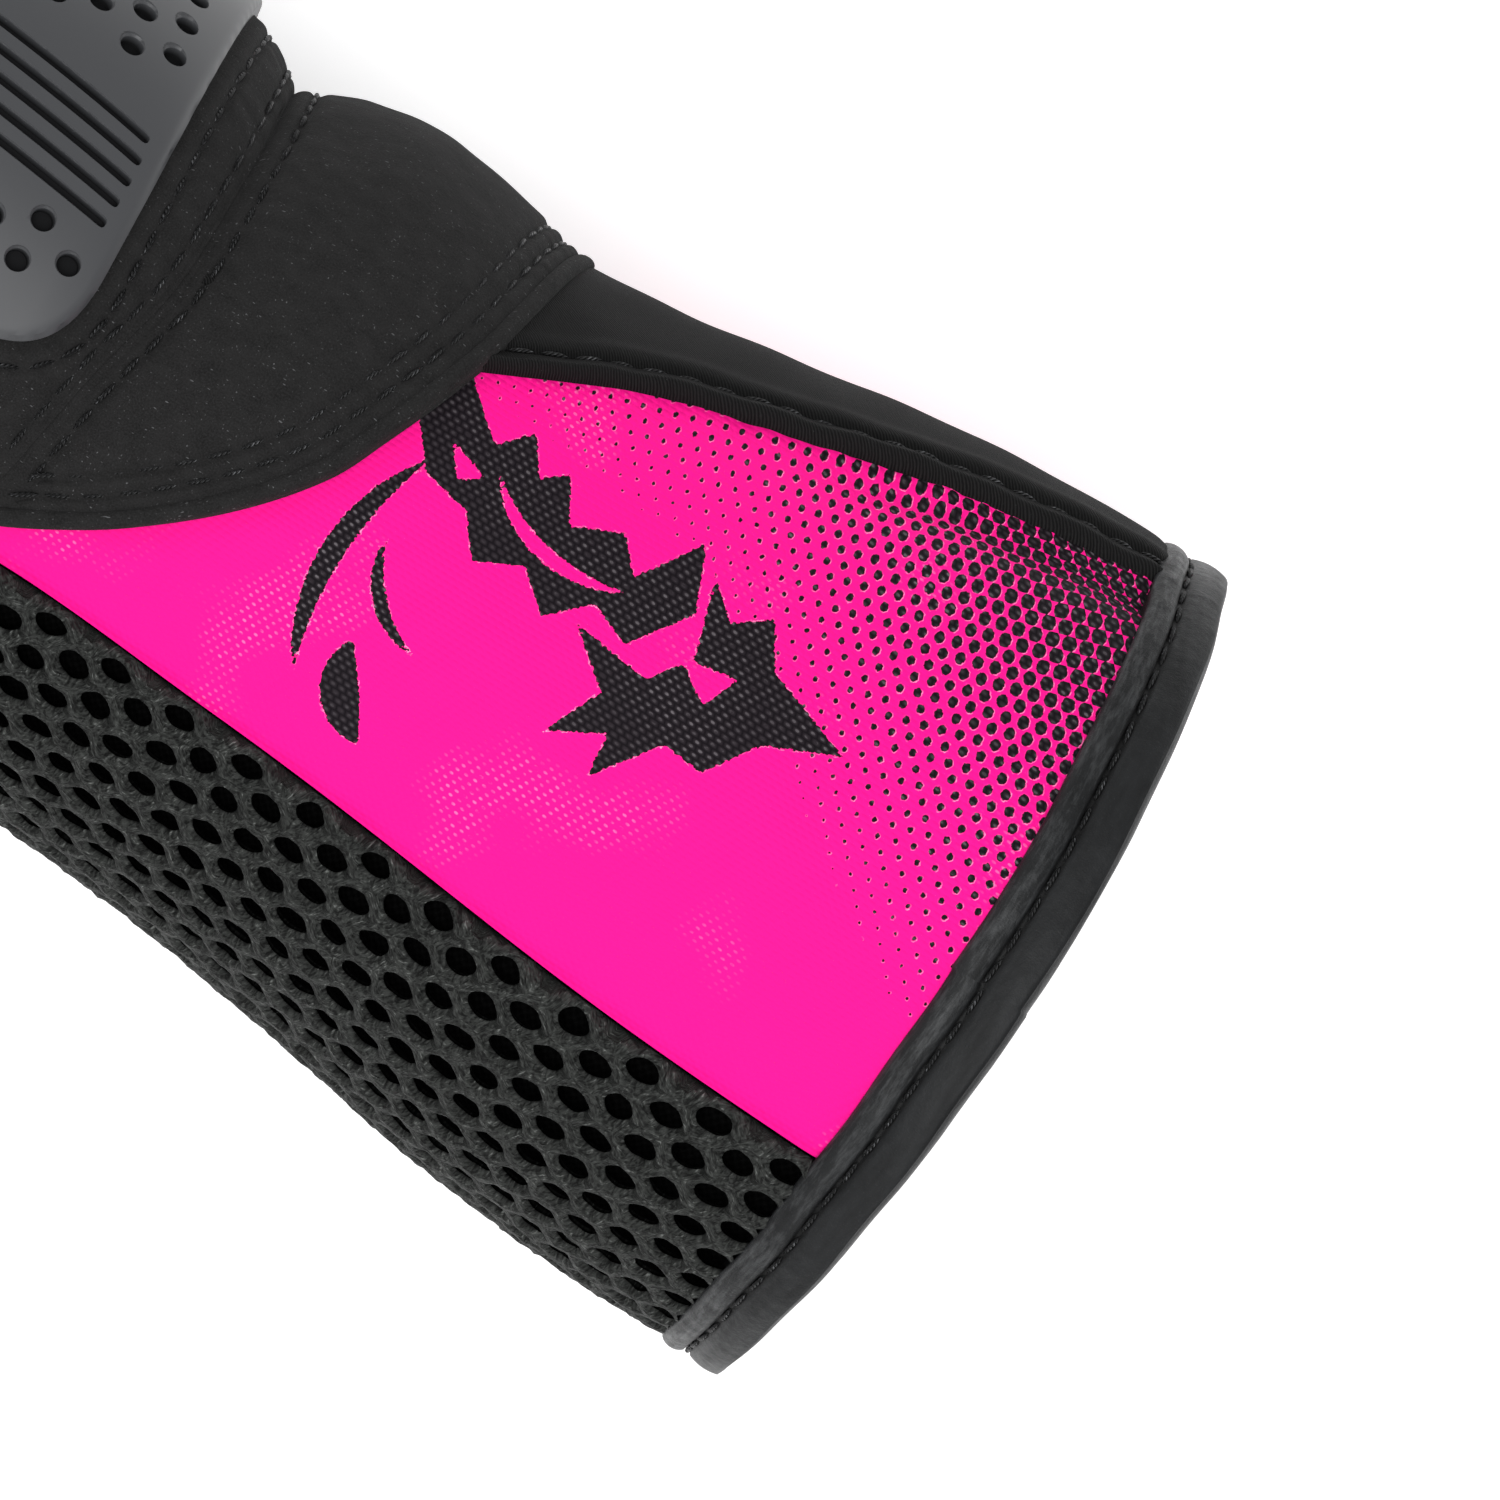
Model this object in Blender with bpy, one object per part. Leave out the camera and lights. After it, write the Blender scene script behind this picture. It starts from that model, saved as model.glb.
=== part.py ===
"""A pull-on wrist guard for the left hand, built as the sewn and moulded pieces that it is made of.

The sleeve lies on its little-finger side. +X runs along the arm towards the elbow, +Y is the palm side and
+Z the thumb side, which faces up. The wrist's flex line is at X = 0, and the origin is under the middle of the
guard, on the surface that it lies on. Lengths are in metres.

Every soft piece is cut from a flat pattern and wrapped round the arm. wrap(x, turn, height) does that: turn is
the angle round the arm in degrees (0 thumb side, 90 palm, 180 little-finger side, -90 back of the hand), and
height is the distance above the sleeve's outer face.
"""

import math

import bmesh
import bpy
from mathutils import Vector

MM = 0.001

# Overall sizes
CUFF_END = 80 * MM
CUFF_BOW = 4.5 * MM  # how much further the cuff reaches on the thumb side
BOW_FROM, BOW_LENGTH = 28 * MM, 52 * MM
BOW_TURN = 6
HAND_END = -84.5 * MM
BINDING_WIDTH = 5.6 * MM
BINDING_RISE = 0.7 * MM
GAP = 0.3 * MM  # between pieces side by side
SEAM = 0.5 * MM  # between sleeve panels that are sewn edge to edge
LAYER = 0.45 * MM  # between pieces on top of each other
DEGREE_LENGTH = 0.52 * MM  # how far one degree of turn is round the arm, on a flat pattern

# The sleeve's outer face: half widths towards the palm and the back, and the height of the thumb side, along X
PALM_HALF = [(-80, 25.5), (-60, 27.2), (-30, 28.5), (0, 29.0), (20, 29.6), (31, 30.4), (48, 33.1), (61, 35.0), (80, 35.9)]
BACK_HALF = [(-80, 24.5), (-50, 26.3), (-20, 28.2), (0, 29.0), (20, 30.2), (31, 31.4), (56, 35.1), (80, 35.8)]
THUMB_HEIGHT = [(-80, 62.5), (-50, 61.5), (-25, 59), (0, 56), (15, 55.6), (40, 57), (80, 60)]
CUFF_CLEARANCE = BINDING_RISE  # the sleeve's underside stands this far off the table at the cuff
PAD_CLEARANCE = 4.7 * MM  # and this far at the hand, where the pad touches the table
CLEARANCE_FROM, CLEARANCE_TO = 36 * MM, 12 * MM
FLAT_FROM = 0.94  # the underside is flat where it faces the table this squarely

# Fabric thicknesses
AIR_MESH = 3.0 * MM
PRINTED_KNIT = 1.8 * MM
TWILL = 2.2 * MM
SUEDE = 0.8 * MM
ELASTIC = 1.1 * MM

# The pad on the palm side: how far its face stands off the sleeve along the middle, and how it thins to the sides
PAD_RISE = [(-80, 1.5), (-74, 2.4), (-60, 5.0), (-40, 6.8), (-20, 6.8), (-8, 5.4), (0, 2.4), (5, 3.2), (11, 4.0), (18, 3.0), (26.5, 1.3)]
PAD_EDGE_RISE = 1.3 * MM
PAD_HALF_TURN = 116
PAD_CROWN = 1.25

# Where the panels meet, as a turn on the thumb side. The little-finger side mirrors it.
MESH_EDGE = [(-80, -58), (-57, -56), (-30, -38), (-4, -27), (20, -27.5), (72, -30.4), (80, -30.6)]
TWILL_EDGE = [(0, 27), (18, 36.7), (35, 54.4), (47, 60.2), (60, 66.6), (72, 70.8), (80, 73)]
PALM_EDGE = [(-80, 16), (-62, 15), (-44, 10), (-28, -12), (-14, -22), (0, -23)]
HEEL_EDGE = [(0, 25.8), (14, 25.2), (43, 23.7), (56.5, 22.1), (69, 19.8), (78, 17.7), (89, 13.1), (100, 6.6), (106, 2.4)]  # turn from 90, X
HEEL_REACH = 102

# The wrist's flex: the sleeve is parted along a notch that opens towards the palm and the back
FLEX_HALF_GAP = 1.2 * MM
PALM_SLOPE, BACK_SLOPE = 0.07, 0.11

# The thumb's opening, a round hole in the flat pattern
THUMB_X, THUMB_TURN = -57 * MM, -21
THUMB_RADIUS = 11.8 * MM
THUMB_BINDING_WIDTH = 3 * MM
THUMB_PANEL_END = -39.8 * MM

# The hook-and-loop strap over the back of the hand
STRAP_X = (-36.5 * MM, -17.5 * MM)
STRAP_ROOT, STRAP_TIP = -137, -24
ANCHOR_TURN = (-156, -138.5)
LOOP_TURN = (-52, -21)
HOOK_TURN = (-50, -26)
WEBBING = 1.4 * MM

# The stay that stiffens the back of the wrist
STAY_X = (-52 * MM, 52 * MM)
STAY_HALF_TURN = 17

BLACK = (0.012, 0.012, 0.013)
MATERIALS = {
    "printed_knit": ((1.0, 0.013, 0.352), 0.55, 0.0),
    "air_mesh": ((0.012, 0.013, 0.013), 0.8, 0.0),
    "twill": ((0.009, 0.010, 0.010), 0.75, 0.0),
    "suede": ((0.018, 0.018, 0.019), 0.95, 0.0),
    "binding": (BLACK, 0.5, 0.0),
    "cap_rubber": ((0.045, 0.049, 0.055), 0.42, 0.0),
    "foam": ((0.05, 0.05, 0.055), 0.9, 0.0),
    "splint_plastic": ((0.02, 0.02, 0.022), 0.35, 0.0),
    "lining": ((0.02, 0.02, 0.022), 0.9, 0.0),
    "webbing": (BLACK, 0.7, 0.0),
    "hook_and_loop": ((0.008, 0.008, 0.009), 0.9, 0.0),
    "gripper": ((0.03, 0.03, 0.032), 0.6, 0.0),
}


def clear_scene():
    for old in list(bpy.data.objects):
        bpy.data.objects.remove(old)


def new_collection(name):
    made = bpy.data.collections.new(name)
    bpy.context.scene.collection.children.link(made)
    return made


def make_material(name):
    colour, roughness, metallic = MATERIALS[name]
    made = bpy.data.materials.new(name)
    made.use_nodes = True
    shader = made.node_tree.nodes["Principled BSDF"]
    shader.inputs["Base Color"].default_value = (*colour, 1)
    shader.inputs["Roughness"].default_value = roughness
    shader.inputs["Metallic"].default_value = metallic
    return made


def ease(t):
    """0 to 1, level at both ends."""
    t = min(1, max(0, t))
    return t * t * (3 - 2 * t)


def along(stations, x):
    """A smooth curve through (position, value) stations, level past the ends."""
    if x <= stations[0][0]:
        return stations[0][1]
    if x >= stations[-1][0]:
        return stations[-1][1]
    last = len(stations) - 1
    i = next(n for n in range(last) if x <= stations[n + 1][0])

    def slope(n):
        before, after = stations[max(n - 1, 0)], stations[min(n + 1, last)]
        return (after[1] - before[1]) / (after[0] - before[0])

    (x0, y0), (x1, y1) = stations[i], stations[i + 1]
    span = x1 - x0
    t = (x - x0) / span
    return (
        y0 * (1 + 2 * t) * (1 - t) ** 2
        + y1 * t * t * (3 - 2 * t)
        + span * t * (1 - t) * (slope(i) * (1 - t) - slope(i + 1) * t)
    )


def along_mm(stations, x):
    """The same for stations in millimetres, with x and the result in metres."""
    return along(stations, x / MM) * MM


def turn_along(stations, x):
    """A panel edge's turn in degrees at x."""
    return along(stations, x / MM)


def skin(x, turn):
    """A point on the sleeve's outer face. The underside is flattened where it faces the table."""
    sine, cosine = math.sin(math.radians(turn)), math.cos(math.radians(turn))
    half = along_mm(PALM_HALF if sine > 0 else BACK_HALF, x)
    top = along_mm(THUMB_HEIGHT, x)
    lift = ease((CLEARANCE_FROM - x) / (CLEARANCE_FROM - CLEARANCE_TO))
    bottom = CUFF_CLEARANCE + (PAD_CLEARANCE - CUFF_CLEARANCE) * lift
    if cosine < 0:
        t = min(1, -cosine / FLAT_FROM)
        cosine = -(1.125 * t - 0.125 * t**9)
    out = max(0, math.cos(math.radians(turn - BOW_TURN))) ** 1.5 * max(0, (x - BOW_FROM) / BOW_LENGTH) ** 2
    return Vector((x + CUFF_BOW * out, half * sine, (top + bottom) / 2 + (top - bottom) / 2 * cosine))


def wrap(x, turn, height):
    """The point at that height above the sleeve's outer face."""
    step, step_turn = 0.2 * MM, 0.4
    lengthways = skin(x + step, turn) - skin(x - step, turn)
    roundways = skin(x, turn + step_turn) - skin(x, turn - step_turn)
    point = skin(x, turn) + lengthways.cross(roundways).normalized() * height
    point.z = max(0, point.z)  # the table presses the cap flat where it rests
    return point


def pad_rise(x, turn):
    """How far the pad's face stands off the sleeve."""
    aside = min(1, abs((turn + 90) % 360 - 180) / PAD_HALF_TURN)
    crown = math.cos(aside * math.pi / 2) ** PAD_CROWN
    return PAD_EDGE_RISE + (along_mm(PAD_RISE, x) - PAD_EDGE_RISE) * crown


def flex_edge(turn):
    """How far the forearm's and the hand's pieces stand back from the flex line, so that the hand can turn."""
    y = skin(0, turn).y
    return FLEX_HALF_GAP + abs(y) * (PALM_SLOPE if y > 0 else BACK_SLOPE)


def fixed(height):
    """A height that is the same all over a piece."""
    return lambda x, turn: height


def pad_height(below):
    """A height measured down from the pad's face."""
    return lambda x, turn: pad_rise(x, turn) - below


def finish(name, bm, material):
    """Turns a bmesh into a named object with its material and smooth shading."""
    bmesh.ops.recalc_face_normals(bm, faces=bm.faces)
    if bm.calc_volume(signed=True) < 0:
        bmesh.ops.reverse_faces(bm, faces=bm.faces)
    mesh = bpy.data.meshes.new(name)
    bm.to_mesh(mesh)
    bm.free()
    mesh.shade_smooth()
    mesh.set_sharp_from_angle(angle=math.radians(40))
    mesh.materials.append(materials[material])
    made = bpy.data.objects.new(name, mesh)
    guard.objects.link(made)
    return made


def slab(name, material, columns, rows, pattern, low, high):
    """A piece of sheet. pattern(u, v) gives its (x, turn) for u and v from 0 to 1, and low and high its two faces."""
    bm = bmesh.new()
    bmesh.ops.create_grid(bm, x_segments=columns, y_segments=rows, size=0.5)
    bmesh.ops.solidify(bm, geom=bm.faces[:], thickness=1)
    middle = sum(v.co.z for v in bm.verts) / len(bm.verts)
    for v in bm.verts:
        x, turn = pattern(v.co.x + 0.5, v.co.y + 0.5)
        v.co = wrap(x, turn, (high if v.co.z > middle else low)(x, turn))
    return finish(name, bm, material)


def ring(name, material, segments, section):
    """A closed band. section(f) gives its cross-section at the share f of the way round, as (x, turn, height)."""
    corners = [section(n / segments) for n in range(segments)]
    sides = len(corners[0])
    bpy.ops.mesh.primitive_torus_add(
        major_segments=segments, minor_segments=sides, major_radius=2, minor_radius=1
    )
    torus = bpy.context.object
    bm = bmesh.new()
    bm.from_mesh(torus.data)
    bpy.data.objects.remove(torus)
    for v in bm.verts:
        across = math.hypot(v.co.x, v.co.y) - 2
        major = round(math.atan2(v.co.y, v.co.x) / math.tau * segments) % segments
        minor = round(math.atan2(v.co.z, across) / math.tau * sides) % sides
        v.co = wrap(*corners[major][minor])
    return finish(name, bm, material)


def cushion(name, material, columns, rows, place, low, high, rim=None):
    """A closed pad on a grid. place(a, b, outset) gives (x, turn) for a and b from -1 to 1. The optional rim is a
    flange round the pad: (how far it reaches out, its own upper face)."""
    bm = bmesh.new()
    bmesh.ops.create_grid(bm, x_segments=columns, y_segments=rows, size=0.5)
    bmesh.ops.solidify(bm, geom=bm.faces[:], thickness=1)
    middle = sum(v.co.z for v in bm.verts) / len(bm.verts)
    inner = 2 if rim else 0
    outsets = (rim[0], 0.0) if rim else ()
    for v in bm.verts:
        i, j = round((v.co.x + 0.5) * columns), round((v.co.y + 0.5) * rows)
        layer = min(i, j, columns - i, rows - j, inner)
        a = 2 * (i - layer) / (columns - 2 * layer) - 1
        b = 2 * (j - layer) / (rows - 2 * layer) - 1
        x, turn = place(a, b, outsets[layer] if layer < inner else -0.1 * MM)
        top = rim[1] if rim and layer < inner else high
        v.co = wrap(x, turn, (top if v.co.z > middle else low)(x, turn))
    return finish(name, bm, material)


def rounded_outline(corners, radius, steps=4):
    """A closed flat outline, (x, across) in metres, with its corners rounded. It starts at its first edge's middle."""
    points = []
    for n, corner in enumerate(corners):
        here = Vector(corner)
        back = Vector(corners[n - 1]) - here
        on = Vector(corners[(n + 1) % len(corners)]) - here
        cut = min(radius, back.length / 2, on.length / 2)
        start, end = here + back.normalized() * cut, here + on.normalized() * cut
        for k in range(steps + 1):
            t = k / steps
            points.append(start * (1 - t) ** 2 + here * 2 * t * (1 - t) + end * t * t)
    first = (Vector(corners[-1]) + Vector(corners[0])) / 2
    return [first, *points]


def patch(half, radius, centre):
    """A patch on the palm that is the same on both sides of its middle. half lists (x, turn from the middle) in mm
    and degrees, from the wrist to the fingers. The result gives (x, turn) for a place in it: a from -1 at the
    fingers' end to 1 at the wrist's, and b from -1 on the little-finger side to 1 on the thumb side."""
    side = [(x * MM, aside * DEGREE_LENGTH) for x, aside in half]
    points = rounded_outline(side + [(x, -across) for x, across in side[::-1]], radius)
    lengths = [(points[(n + 1) % len(points)] - p).length for n, p in enumerate(points)]
    whole = sum(lengths)
    middle = Vector((centre, 0))

    def on_edge(f):
        left = f % 1 * whole
        n = 0
        while left > lengths[n]:
            left -= lengths[n]
            n += 1
        on = points[(n + 1) % len(points)] - points[n]
        return points[n] + on * (left / lengths[n]), Vector((on.y, -on.x)).normalized()

    def nearest(corner):
        return min(range(500), key=lambda n: (on_edge(n / 1000)[0] - Vector(corner)).length) / 1000

    wrist, fingers = nearest(side[1]), nearest(side[-1])

    def place(a, b, outset=0.0):
        share = max(abs(a), abs(b))
        if share < 1e-6:
            return middle.x, 90
        a, b = a / share, b / share
        if a > 0.9999:
            f = wrist * b
        elif b > 0.9999:
            f = wrist + (fingers - wrist) * (1 - a) / 2
        elif a < -0.9999:
            f = fingers + (1 - 2 * fingers) * (1 - b) / 2
        else:
            f = 1 - wrist - (fingers - wrist) * (1 - a) / 2
        edge, out = on_edge(f)
        flat = middle + (edge + out * outset - middle) * share
        return flat.x, 90 - flat.y / DEGREE_LENGTH

    return place


def square_walk(columns, rows):
    """The places (a, b) round a grid's edge, anticlockwise, from the middle of its wrist side."""
    up = [(1, 2 * j / rows - 1) for j in range(rows // 2, rows)]
    left = [(1 - 2 * i / columns, 1) for i in range(columns)]
    down = [(-1, 1 - 2 * j / rows) for j in range(rows)]
    right = [(2 * i / columns - 1, -1) for i in range(columns)]
    last = [(1, 2 * j / rows - 1) for j in range(rows // 2)]
    return up + left + down + right + last


def little(turn):
    """The same place on the little-finger side."""
    return 180 - turn


def sleeve_strip(x_from, x_to, edge_from, edge_to):
    """A pattern for a sleeve panel between two edges, which are functions of x. x_from and x_to take the turn."""
    half_gap = SEAM / 2 / DEGREE_LENGTH

    def pattern(u, v):
        x = x_from(0) * (1 - u) + x_to(0) * u
        for _ in range(3):  # the ends follow the turn, and the edges follow x
            first, last = edge_from(x) + half_gap, edge_to(x) - half_gap
            turn = first * (1 - v) + last * v
            x = x_from(turn) * (1 - u) + x_to(turn) * u
        return x, turn

    return pattern


def forearm_start(turn):
    return flex_edge(turn)


def hand_start(turn):
    return -flex_edge(turn)


def cuff_seam(turn):
    return CUFF_END - BINDING_WIDTH - GAP


def hand_seam(turn):
    return HAND_END + BINDING_WIDTH + GAP


def mesh_edge(x):
    return turn_along(MESH_EDGE, x)


def mesh_edge_little(x):
    return -180 - mesh_edge(x)


def twill_edge(x):
    return turn_along(TWILL_EDGE, x)


def palm_edge(x):
    return turn_along(PALM_EDGE, x)


def make_forearm_panels():
    ends = (forearm_start, cuff_seam)
    inner = fixed(-PRINTED_KNIT)
    thumb = sleeve_strip(*ends, mesh_edge, twill_edge)
    slab("print_panel_thumb_forearm", "printed_knit", 12, 12, thumb, inner, fixed(0))
    far = sleeve_strip(*ends, lambda x: little(twill_edge(x)), lambda x: little(mesh_edge(x)))
    slab("print_panel_little_forearm", "printed_knit", 12, 12, far, inner, fixed(0))
    front = sleeve_strip(*ends, twill_edge, lambda x: little(twill_edge(x)))
    slab("twill_front_panel", "twill", 12, 15, front, fixed(-TWILL), fixed(0))
    back = sleeve_strip(*ends, mesh_edge_little, mesh_edge)
    slab("mesh_panel_forearm", "air_mesh", 9, 16, back, fixed(-AIR_MESH), fixed(0))


def make_hand_panels():
    inner = fixed(-PRINTED_KNIT)
    ends = (hand_seam, hand_start)
    short = (lambda turn: THUMB_PANEL_END + GAP, hand_start)
    thumb = sleeve_strip(*short, mesh_edge, palm_edge)
    slab("print_panel_thumb_hand", "printed_knit", 10, 5, thumb, inner, fixed(0))
    far = sleeve_strip(*ends, lambda x: little(palm_edge(x)), lambda x: little(mesh_edge(x)))
    slab("print_panel_little_hand", "printed_knit", 12, 9, far, inner, fixed(0))
    palm = sleeve_strip(*ends, palm_edge, lambda x: little(palm_edge(x)))
    slab("palm_lining", "lining", 16, 22, palm, inner, fixed(0))
    back = sleeve_strip(*ends, mesh_edge_little, mesh_edge)
    slab("mesh_panel_hand", "air_mesh", 12, 15, back, fixed(-AIR_MESH), fixed(0))
    make_thumb_panel()


def make_thumb_panel():
    """The panel that the thumb comes out of: a four-sided piece round a hole."""
    sheet = sleeve_strip(hand_seam, lambda turn: THUMB_PANEL_END, mesh_edge, palm_edge)
    walk = square_walk(8, 10)

    def section(f):
        a, b = walk[round(f * len(walk)) % len(walk)]
        edge_x, edge_turn = sheet((a + 1) / 2, (b + 1) / 2)
        out_x, out_across = edge_x - THUMB_X, (edge_turn - THUMB_TURN) * DEGREE_LENGTH
        hole = (THUMB_RADIUS + THUMB_BINDING_WIDTH + GAP) / math.hypot(out_x, out_across)
        line = [hole + (1 - hole) * share for share in (0, 0.5, 1)]
        flat = [(THUMB_X + out_x * s, THUMB_TURN + out_across * s / DEGREE_LENGTH) for s in line]
        return [(x, turn, 0) for x, turn in flat[::-1]] + [(x, turn, -PRINTED_KNIT) for x, turn in flat]

    ring("thumb_panel", "printed_knit", len(walk), section)


def around_arm(x_in, x_out, low, high, bevel):
    """A band's section round the whole arm, from x_in to x_out, with its edges bevelled."""
    slant = bevel if x_out > x_in else -bevel

    def section(f):
        turn = f * 360
        return [
            (x_out, turn, (low + high) / 2),
            (x_out - slant, turn, high),
            (x_in + slant, turn, high),
            (x_in, turn, (low + high) / 2),
            (x_in + slant, turn, low),
            (x_out - slant, turn, low),
        ]

    return section


def make_bindings():
    bevel = 0.6 * MM
    low, high = -AIR_MESH, BINDING_RISE
    cuff = around_arm(CUFF_END - BINDING_WIDTH, CUFF_END, low, high, bevel)
    ring("cuff_binding", "binding", 36, cuff)
    hand = around_arm(HAND_END + BINDING_WIDTH, HAND_END, low, high, bevel)
    ring("hand_binding", "binding", 36, hand)
    grip_x = (CUFF_END - 24 * MM, CUFF_END - 9 * MM)
    top = -AIR_MESH - LAYER
    ring("cuff_gripper_band", "gripper", 48, around_arm(*grip_x, top - ELASTIC, top, 0.1 * MM))

    def thumb_section(f):
        angle = f * math.tau
        along_x, across = math.cos(angle), math.sin(angle)
        places = [
            (THUMB_RADIUS + THUMB_BINDING_WIDTH, 0.5),
            (THUMB_RADIUS + THUMB_BINDING_WIDTH - bevel, 1.0),
            (THUMB_RADIUS + bevel, 1.0),
            (THUMB_RADIUS, 0.5),
            (THUMB_RADIUS + bevel, 0.0),
            (THUMB_RADIUS + THUMB_BINDING_WIDTH - bevel, 0.0),
        ]
        thin_low = -PRINTED_KNIT - 0.4 * MM
        return [
            (
                THUMB_X + radius * along_x,
                THUMB_TURN + radius * across / DEGREE_LENGTH,
                thin_low + (high - thin_low) * share,
            )
            for radius, share in places
        ]

    ring("thumb_binding", "binding", 24, thumb_section)


def make_wrist_stretch():
    """What bridges the wrist: the sleeve's stretch band and the suede's fold, which give as the hand bends."""

    def section(f):
        turn = f * 360
        reach = flex_edge(turn) - GAP
        return [(reach, turn, -PRINTED_KNIT), (reach, turn, 0), (-reach, turn, 0), (-reach, turn, -PRINTED_KNIT)]

    ring("wrist_stretch_band", "printed_knit", 48, section)

    def fold(u, v):
        turn = 90 + 104 * (2 * v - 1)
        return (flex_edge(turn) - GAP) * (2 * u - 1), turn

    slab("suede_wrist_fold", "suede", 4, 28, fold, pad_height(SUEDE), pad_height(0))


def make_heel_pad():
    """The pad's forearm half: a suede panel with a bound edge over a foam pad."""
    reach = HEEL_REACH
    edging = 1.6 * MM

    def heel_edge(turn):
        return along(HEEL_EDGE, abs(90 - turn)) * MM

    def panel(u, v):
        turn = 90 + (reach - 1) * (2 * v - 1)
        first, last = flex_edge(turn), heel_edge(turn) - edging - GAP
        return first * (1 - u) + max(last, first + 0.8 * MM) * u, turn

    slab("suede_heel_panel", "suede", 7, 32, panel, pad_height(SUEDE), pad_height(0))

    def bound_edge(u, v):
        turn = 90 + reach * (2 * v - 1)
        return heel_edge(turn) - edging * (1 - u), turn

    slab("heel_edge_binding", "binding", 2, 32, bound_edge, fixed(LAYER), pad_height(0))

    def foam(u, v):
        turn = 90 + 66 * (2 * v - 1)
        first, last = flex_edge(turn) + 1.5 * MM, heel_edge(turn) - 6 * MM
        return first * (1 - u) + last * u, turn

    slab("heel_pad_foam", "foam", 5, 20, foam, fixed(LAYER), pad_height(SUEDE + LAYER))


CAP_GRID = (16, 26)
CAP_HALF = [(-6.2, 30), (-3.9, 87.5), (-30, 88), (-50, 72), (-66, 56)]
CAP_CENTRE = -36 * MM
CAP_PROUD = 1.0 * MM
FLANGE = 0.8 * MM
FLANGE_WIDTH = 1.6 * MM
SPLINT = 1.5 * MM
SURROUND_HALF = [(-3.2, 30), (-1.6, 106), (-14, 110), (-30, 101), (-46, 79), (-78, 73)]


def make_cap_and_surround():
    """The moulded rubber cap, which shows through a window in the suede, and the suede with its outer edge."""
    cap = patch(CAP_HALF, 8 * MM, CAP_CENTRE)
    flange_top = pad_height(SUEDE + GAP)
    low = pad_height(SUEDE + GAP + FLANGE)
    rim = (FLANGE_WIDTH, flange_top)
    made = cushion("rubber_cap", "cap_rubber", *CAP_GRID, cap, low, pad_height(-CAP_PROUD), rim)
    cut_cap(made)

    outer = patch(SURROUND_HALF, 6 * MM, CAP_CENTRE)
    walk = square_walk(CAP_GRID[0] - 2, CAP_GRID[1] - 2)

    def section(f):
        a, b = walk[round(f * len(walk)) % len(walk)]
        inside, outside = Vector(cap(a, b, GAP)), Vector(outer(a, b))
        outside.x = min(outside.x, -flex_edge(outside.y))
        line = [inside.lerp(outside, share) for share in (0, 0.5, 1)]
        upper = [(x, turn, pad_rise(x, turn)) for x, turn in line]
        lower = [(x, turn, pad_rise(x, turn) - SUEDE) for x, turn in line]
        return upper[::-1] + lower

    ring("suede_cap_surround", "suede", len(walk), section)


HOLE_RADIUS = 0.95 * MM
HOLE_DEPTH = 1.1 * MM
HOLE_PITCH_X, HOLE_PITCH_TURN = 3.5 * MM, 6.4
GROOVES_ASIDE = [52.5 + 3.4 * n for n in range(5)]
GROOVE_WIDTH = 1.0 * MM
GROOVE_END_X = [-7.4, -7.0, -6.8, -6.7, -6.7]  # where each groove starts, in mm, from the middle outwards
GROOVE_LENGTH = 38 * MM
GROOVE_FAN = 6.0  # how far a groove runs towards the cap's middle over its length, in degrees


def cap_holes():
    """(x, turn from the middle) of each blind hole: a field at the wrist's end of the cap and one at each corner."""
    holes = []
    for row in range(5):
        shift = HOLE_PITCH_TURN / 2 * (row % 2)
        for n in range(-7, 7):
            turn = n * HOLE_PITCH_TURN + shift
            if abs(turn) < 46:
                bow = 2.2 * MM * (1 - (turn / 44) ** 2)
                holes.append((-8.7 * MM - row * HOLE_PITCH_X - bow, turn))
    for row in range(6):
        turns = (70.3, 76.7) if row % 2 else (73.5, 79.9)[: 1 if row == 0 else 2]
        holes += [(-7.4 * MM - row * HOLE_PITCH_X, side * turn) for side in (-1, 1) for turn in turns]
    return holes


def cut_cap(cap):
    """Cuts the cap's blind holes and grooves with one cutter object."""
    bm = bmesh.new()
    for x, aside in cap_holes():
        turn = 90 - aside
        top = pad_rise(x, turn) + CAP_PROUD
        inner, outer = wrap(x, turn, top - HOLE_DEPTH), wrap(x, turn, top + 1 * MM)
        spin = (outer - inner).to_track_quat("Z", "X").to_matrix().to_4x4()
        spin.translation = (inner + outer) / 2
        bmesh.ops.create_cone(
            bm,
            cap_ends=True,
            segments=6,
            radius1=HOLE_RADIUS,
            radius2=HOLE_RADIUS,
            depth=(outer - inner).length,
            matrix=spin,
        )
    for side in (-1, 1):
        for n, aside in enumerate(GROOVES_ASIDE):
            add_groove(bm, GROOVE_END_X[n] * MM, side * aside, side)
    mesh = bpy.data.meshes.new("cap_cutter")
    bm.to_mesh(mesh)
    bm.free()
    cutter = bpy.data.objects.new("cap_cutter", mesh)
    cutter.hide_render = True
    cutter.display_type = "WIRE"
    cutters.objects.link(cutter)
    cut = cap.modifiers.new("holes_and_grooves", "BOOLEAN")
    cut.operation = "DIFFERENCE"
    cut.solver = "EXACT"
    cut.object = cutter


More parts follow.
